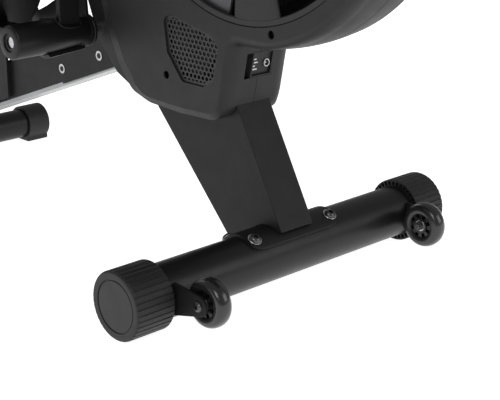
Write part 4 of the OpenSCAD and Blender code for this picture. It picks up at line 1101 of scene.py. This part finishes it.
def inflate(obj, floor_z, p):
    """Cloth run that swells the pad a little, capped, with its flat base kept where it rests."""
    even = obj.modifiers.new("even", "REMESH")
    even.mode = "VOXEL"
    even.voxel_size = 6 * MM
    applied(obj)
    before = vertex_places(obj.data)
    low = before[:, 2] < (floor_z + 4) * MM
    group = obj.vertex_groups.new(name="base")
    group.add([int(k) for k in np.nonzero(low)[0]], 1.0, "REPLACE")
    cloth = obj.modifiers.new("swell", "CLOTH")
    cloth.settings.quality = 5
    cloth.settings.use_pressure = True
    cloth.settings.uniform_pressure_force = p.seat_pressure
    cloth.settings.effector_weights.gravity = 0.0
    cloth.settings.vertex_group_mass = "base"
    scene = bpy.context.scene
    for step in range(1, 21):
        scene.frame_set(step)
    applied(obj)
    scene.frame_set(1)
    move = vertex_places(obj.data) - before
    size = np.linalg.norm(move, axis=1, keepdims=True)
    move *= np.minimum(1, p.seat_cap / np.maximum(size, 1e-9))
    obj.data.vertices.foreach_set("co", (before + move).ravel())
    obj.vertex_groups.clear()
    for face in obj.data.polygons:
        face.use_smooth = True
    soft = obj.modifiers.new("soft", "SUBSURF")
    soft.levels = 1
    soft.render_levels = 1


# ---- handle and console ----


def grips(look):
    """Foam sleeves with rounded ends: the radius grows by 1.4 mm times a sine towards the middle."""
    low, high = mm_box("handle_grips")
    centre = middle_of("handle_grips")
    r = (high[2] - low[2]) / 2
    s = np.linspace(0, 1, 49)
    x = 45.2 + (high[0] - 45.2) * s
    radius = r - 1.4 + 1.4 * np.sin(np.pi * s) - 5 * (np.clip(0.03 - s, 0, 1) / 0.03) ** 2
    radius -= 6 * (np.clip(s - 0.97, 0, 1) / 0.03) ** 2
    shape = Shape().grid(lathe(np.stack([x, radius], -1), centre, 64), wrap_v=True, caps=True)
    shape.joined(shape.mirrored())
    return shape.piece("foam_grips", "handle", look, "grip_foam", ("handle_grips",), 60.0)


def pull_strap(look):
    """Flat webbing from the spool over the guide roller to the handle, and its wound turns on the spool."""
    spool = joint_at("spool_spin")[1:]
    idler = joint_at("idler_spin")[1:]
    handle = mm_box("handle_bar")
    z = 620.0
    top = spool + [0, 37.5]
    path = np.concatenate([
        np.linspace(top, idler + [-6, 14], 10),
        np.linspace(idler + [0, z - idler[1]], (384, z), 4),
        np.linspace((385, z), (handle[0][1] + 8, z), 24),
    ])
    edge = unit(np.gradient(path, axis=0))
    up = np.stack([-edge[:, 1], edge[:, 0]], -1)
    section = np.array([(-12.3, 0), (-12, 1), (12, 1), (12.3, 0), (12, -1), (-12, -1)])
    grid = np.empty((len(path), 6, 3))
    grid[..., 0] = section[:, 0]
    grid[..., 1:] = path[:, None] + up[:, None] * section[None, :, 1:2]
    obj = placed("pull_strap", Shape().grid(grid, wrap_v=True, caps=True).mesh("pull_strap", 40.0))
    obj.data.materials.append(look)
    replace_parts(obj, "handle_strap")
    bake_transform(obj)
    wound = turned(ring_profile(-12.4, 12.4, 30.4, 36.4, 0.5), spool, 96, ring=True)
    wound.piece("wound_strap", "spool", look, "webbing")


def knob(look):
    """Fluted knob with a pointer ridge, drawn about +X and set on the mast's knob axis."""
    axis = joint_record("knob_turn")["axis"]
    origin = joint_at("knob_turn")
    n = 144
    wave = 1.4 * np.abs(np.cos(circle(n) * 6)) ** 0.5 - 1.4
    profile = [(14.6, 2), (14.6, 23), (15.4, 23.8), (30, 23.4), (33.2, 22.4), (34.2, 20), (34.4, 2)]
    swell = np.zeros((len(profile), n))
    swell[1:5] = wave
    points = lathe(profile, (0, 0), n, swell)
    stem = lathe([(4, 1), (4, 4), (14.7, 4), (14.7, 1)], (0, 0), 32)
    mark = block((34, 36), (-1.6, 1.6), (4, 19)).points[0]
    shape = Shape().grid(oriented(points, origin, axis), wrap_v=True, caps=True)
    shape.grid(oriented(stem, origin, axis), wrap_v=True, caps=True)
    shape.grid(oriented(mark.reshape(2, 4, 3), origin, axis), wrap_v=True, caps=True)
    return shape.piece("brake_knob", "knob", look, "cap_plastic", ("resistance_knob",), 30.0)


# ---- settings and operators ----


class RowerSettings(bpy.types.PropertyGroup):
    """Sizes and colours that a user would change."""

    shell_colour: bpy.props.FloatVectorProperty(
        name="Shell colour", description="Colour of the moulded housing", subtype="COLOR", size=3,
        default=(0.0145, 0.0145, 0.0149), min=0, max=1)
    paint_colour: bpy.props.FloatVectorProperty(
        name="Paint colour", description="Colour of the powder-coated steel", subtype="COLOR", size=3,
        default=(0.010, 0.010, 0.0103), min=0, max=1)
    edge: bpy.props.FloatProperty(
        name="Edge radius", description="Rounding of the bent sheet and cut bar, in millimetres", default=1.2, min=0.2)
    flutes: bpy.props.IntProperty(
        name="Cap flutes", description="Flats round each front end cap", default=36, min=12, max=60)
    spokes: bpy.props.IntProperty(name="Guard spokes", description="Spokes over the fan", default=5, min=3, max=8)
    spoke_spread: bpy.props.FloatProperty(
        name="Spoke spread", description="Angle of a spoke's outer end, in degrees", default=22.0, min=6, max=40)
    seat_pressure: bpy.props.FloatProperty(
        name="Seat fill", description="Pressure that swells the seat pad", default=3.0, min=0, max=10)
    seat_cap: bpy.props.FloatProperty(
        name="Seat swell limit", description="Furthest that the pad may swell", default=0.004, unit="LENGTH", min=0)
    key_power: bpy.props.FloatProperty(
        name="Key light", description="Power of the main softbox, in watts", default=42.0, min=0)


class FrontFoot(bpy.types.Operator):
    """Tube, end caps, saddle and transport wheels"""

    bl_idname = "rower.front_foot"
    bl_label = "Front foot"

    def execute(self, context):
        p = context.scene.rower
        front_tube(LOOKS["tube"])
        saddle(LOOKS["paint"])
        saddle_bolts(LOOKS)
        wheel_bolts(LOOKS["bolt"])
        neck_sockets(LOOKS["black_screw"])
        for side in (-1, 1):
            fluted_cap(side, p.flutes, LOOKS)
            wheel(side, LOOKS)
        refine("wheel_brackets", "frame", LOOKS["paint"], 0.8)
        return {"FINISHED"}


class Housing(bpy.types.Operator):
    """Both housing halves and the fan guards"""

    bl_idname = "rower.housing"
    bl_label = "Housing"

    def execute(self, context):
        p = context.scene.rower
        for side in (-1, 1):
            housing_half(side, LOOKS["shell"])
            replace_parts(guard(side, LOOKS["guard"], p.spokes, p.spoke_spread), "fan_guards")
        inlet_marks(LOOKS["mark"])
        return {"FINISHED"}


class Structure(bpy.types.Operator):
    """Sheet metal and bars with softened edges"""

    bl_idname = "rower.structure"
    bl_label = "Structure"

    def execute(self, context):
        edge = context.scene.rower.edge
        for node, body, look, slot in STRUCTURE:
            refine(node, body, LOOKS[look], edge)
        return {"FINISHED"}


class Pedals(bpy.types.Operator):
    """Both pedals and their straps"""

    bl_idname = "rower.pedals"
    bl_label = "Pedals"

    def execute(self, context):
        for side in (-1, 1):
            pedal(side, LOOKS["pedal"])
            foot_strap(side, LOOKS["webbing"])
        return {"FINISHED"}


class Seat(bpy.types.Operator):
    """Seat pad with its welt"""

    bl_idname = "rower.seat"
    bl_label = "Seat"

    def execute(self, context):
        cushion(context.scene.rower, LOOKS)
        return {"FINISHED"}


class Handle(bpy.types.Operator):
    """Grips, pull strap and brake knob"""

    bl_idname = "rower.handle"
    bl_label = "Handle"

    def execute(self, context):
        grips(LOOKS["foam"])
        pull_strap(LOOKS["webbing"])
        knob(LOOKS["cap"])
        return {"FINISHED"}


class SmallParts(bpy.types.Operator):
    """Finishes of the parts that keep their machined shape"""

    bl_idname = "rower.small_parts"
    bl_label = "Small parts"

    def execute(self, context):
        slots = {part["node"]: part["material_slot"] for part in RECORD["subparts"]}
        for node in NODES:
            finish_node(node, LOOKS[SLOT_LOOKS[slots[node]]])
        return {"FINISHED"}


STRUCTURE = [
    ("leg_post", "frame", "paint", "black_paint"),
    ("neck_plates", "frame", "paint", "black_paint"),
    ("lower_beam", "frame", "aluminium", "aluminium"),
    ("rail_bracket", "frame", "paint", "black_paint"),
    ("mast", "frame", "paint", "black_paint"),
    ("seat_rail", "rail", "aluminium", "aluminium"),
    ("rail_end_cap", "rail", "cap", "cap_plastic"),
    ("rear_leg", "rail", "paint", "black_paint"),
    ("rear_foot_caps", "rail", "cap", "cap_plastic"),
    ("middle_foot_caps", "frame", "cap", "cap_plastic"),
    ("seat_carriage", "seat", "paint", "black_paint"),
    ("handle_bar", "handle", "paint", "black_paint"),
    ("console_case", "console", "shell", "housing_plastic"),
]
SLOT_LOOKS = {
    "black_paint": "paint", "black_tube": "tube", "cap_plastic": "cap", "housing_plastic": "shell",
    "pedal_plastic": "pedal", "grille": "grille", "fan_plastic": "fan", "wheel_hub": "hub", "tyre": "tyre",
    "zinc": "zinc", "steel": "steel", "steel_dark": "dark_steel", "dark_screw": "black_screw",
    "belt_rubber": "belt", "roller_plastic": "nylon", "aluminium": "aluminium", "seat_vinyl": "vinyl",
    "webbing": "webbing", "grip_foam": "foam", "screen": "screen", "button_plastic": "button",
}


def emitter(name, colour, strength):
    """Plain floor: pale, and lit a little from within so that it stays even."""
    n = Nodes(name)
    n.set(Specular_IOR_Level=0.0, Emission_Strength=strength, Emission_Color=(1, 1, 1, 1))
    tone = n.blend(n.noise(2.0), np.array(colour) * 0.99, colour)
    return n.finish(tone, n.spread(n.noise(30.0), 0.85, 0.95))


def background(tree, strength):
    """White background node of a strength."""
    node = tree.nodes.new("ShaderNodeBackground")
    node.inputs["Color"].default_value = (1, 1, 1, 1)
    node.inputs["Strength"].default_value = strength
    return node.outputs["Background"]


def softbox(name, place, aim, size, power):
    """Square area light at a point, facing another."""
    light = bpy.data.lights.new(name, "AREA")
    light.size = size
    light.energy = power
    obj = bpy.data.objects.new(name, light)
    obj.location = place
    obj.rotation_euler = (Vector(aim) - Vector(place)).to_track_quat("-Z", "Y").to_euler()
    bpy.context.scene.collection.objects.link(obj)
    return obj


class Stage(bpy.types.Operator):
    """Floor, lights, background and camera"""

    bl_idname = "rower.stage"
    bl_label = "Stage"

    def execute(self, context):
        scene = context.scene
        p = scene.rower
        mesh = bpy.data.meshes.new("floor")
        mesh.from_pydata([(-30, -30, 0), (30, -30, 0), (30, 30, 0), (-30, 30, 0)], [], [(0, 1, 2, 3)])
        floor = bpy.data.objects.new("floor", mesh)
        mesh.materials.append(emitter("Pale floor", (0.92, 0.92, 0.92), 0.9))
        scene.collection.objects.link(floor)
        world = bpy.data.worlds.new("Studio")
        scene.world = world
        world.use_nodes = True
        tree = world.node_tree
        path = tree.nodes.new("ShaderNodeLightPath")
        mix = tree.nodes.new("ShaderNodeMixShader")
        tree.links.new(path.outputs["Is Camera Ray"], mix.inputs["Fac"])
        tree.links.new(background(tree, 0.31), mix.inputs[1])
        tree.links.new(background(tree, 1.0), mix.inputs[2])
        tree.links.new(mix.outputs["Shader"], tree.nodes["World Output"].inputs["Surface"])
        softbox("Key", (-2.6, -2.6, 2.6), (0, -0.7, 0.3), 1.8, p.key_power)
        softbox("Front fill", (1.8, -3.4, 1.4), (0, -0.7, 0.2), 1.6, p.key_power * 0.45)
        softbox("Back", (0.4, 3.0, 2.8), (0, 0.2, 0.3), 2.2, p.key_power * 0.6)
        data = bpy.data.cameras.new("Camera")
        data.lens = 97.28
        data.sensor_width = 36
        camera = bpy.data.objects.new("Camera", data)
        camera.location = (-1.1793, -1.9678, 0.6699)
        camera.rotation_euler = Vector((0.6567, 0.6831, -0.3196)).to_track_quat("-Z", "Y").to_euler()
        scene.collection.objects.link(camera)
        scene.camera = camera
        scene.view_settings.view_transform = "Standard"
        return {"FINISHED"}


class RowerPanel(bpy.types.Panel):
    """Settings and steps in the sidebar"""

    bl_idname = "VIEW3D_PT_rower"
    bl_label = "Rowing machine"
    bl_space_type = "VIEW_3D"
    bl_region_type = "UI"
    bl_category = "Rower"

    def draw(self, context):
        for name in RowerSettings.__annotations__:
            self.layout.prop(context.scene.rower, name)
        for step in STEPS:
            self.layout.operator(step.bl_idname)


STEPS = (SmallParts, FrontFoot, Housing, Structure, Pedals, Seat, Handle, Stage)
CLASSES = (RowerSettings, *STEPS, RowerPanel)


def register():
    for cls in CLASSES:
        bpy.utils.register_class(cls)
    bpy.types.Scene.rower = bpy.props.PointerProperty(type=RowerSettings)


def unregister():
    del bpy.types.Scene.rower
    for cls in reversed(CLASSES):
        bpy.utils.unregister_class(cls)


def main():
    """Makes every piece through its operator."""
    register()
    LOOKS.update(make_looks(bpy.context.scene.rower))
    for step in STEPS:
        group, name = step.bl_idname.split(".")
        getattr(getattr(bpy.ops, group), name)()


if __name__ == "__main__":
    main()
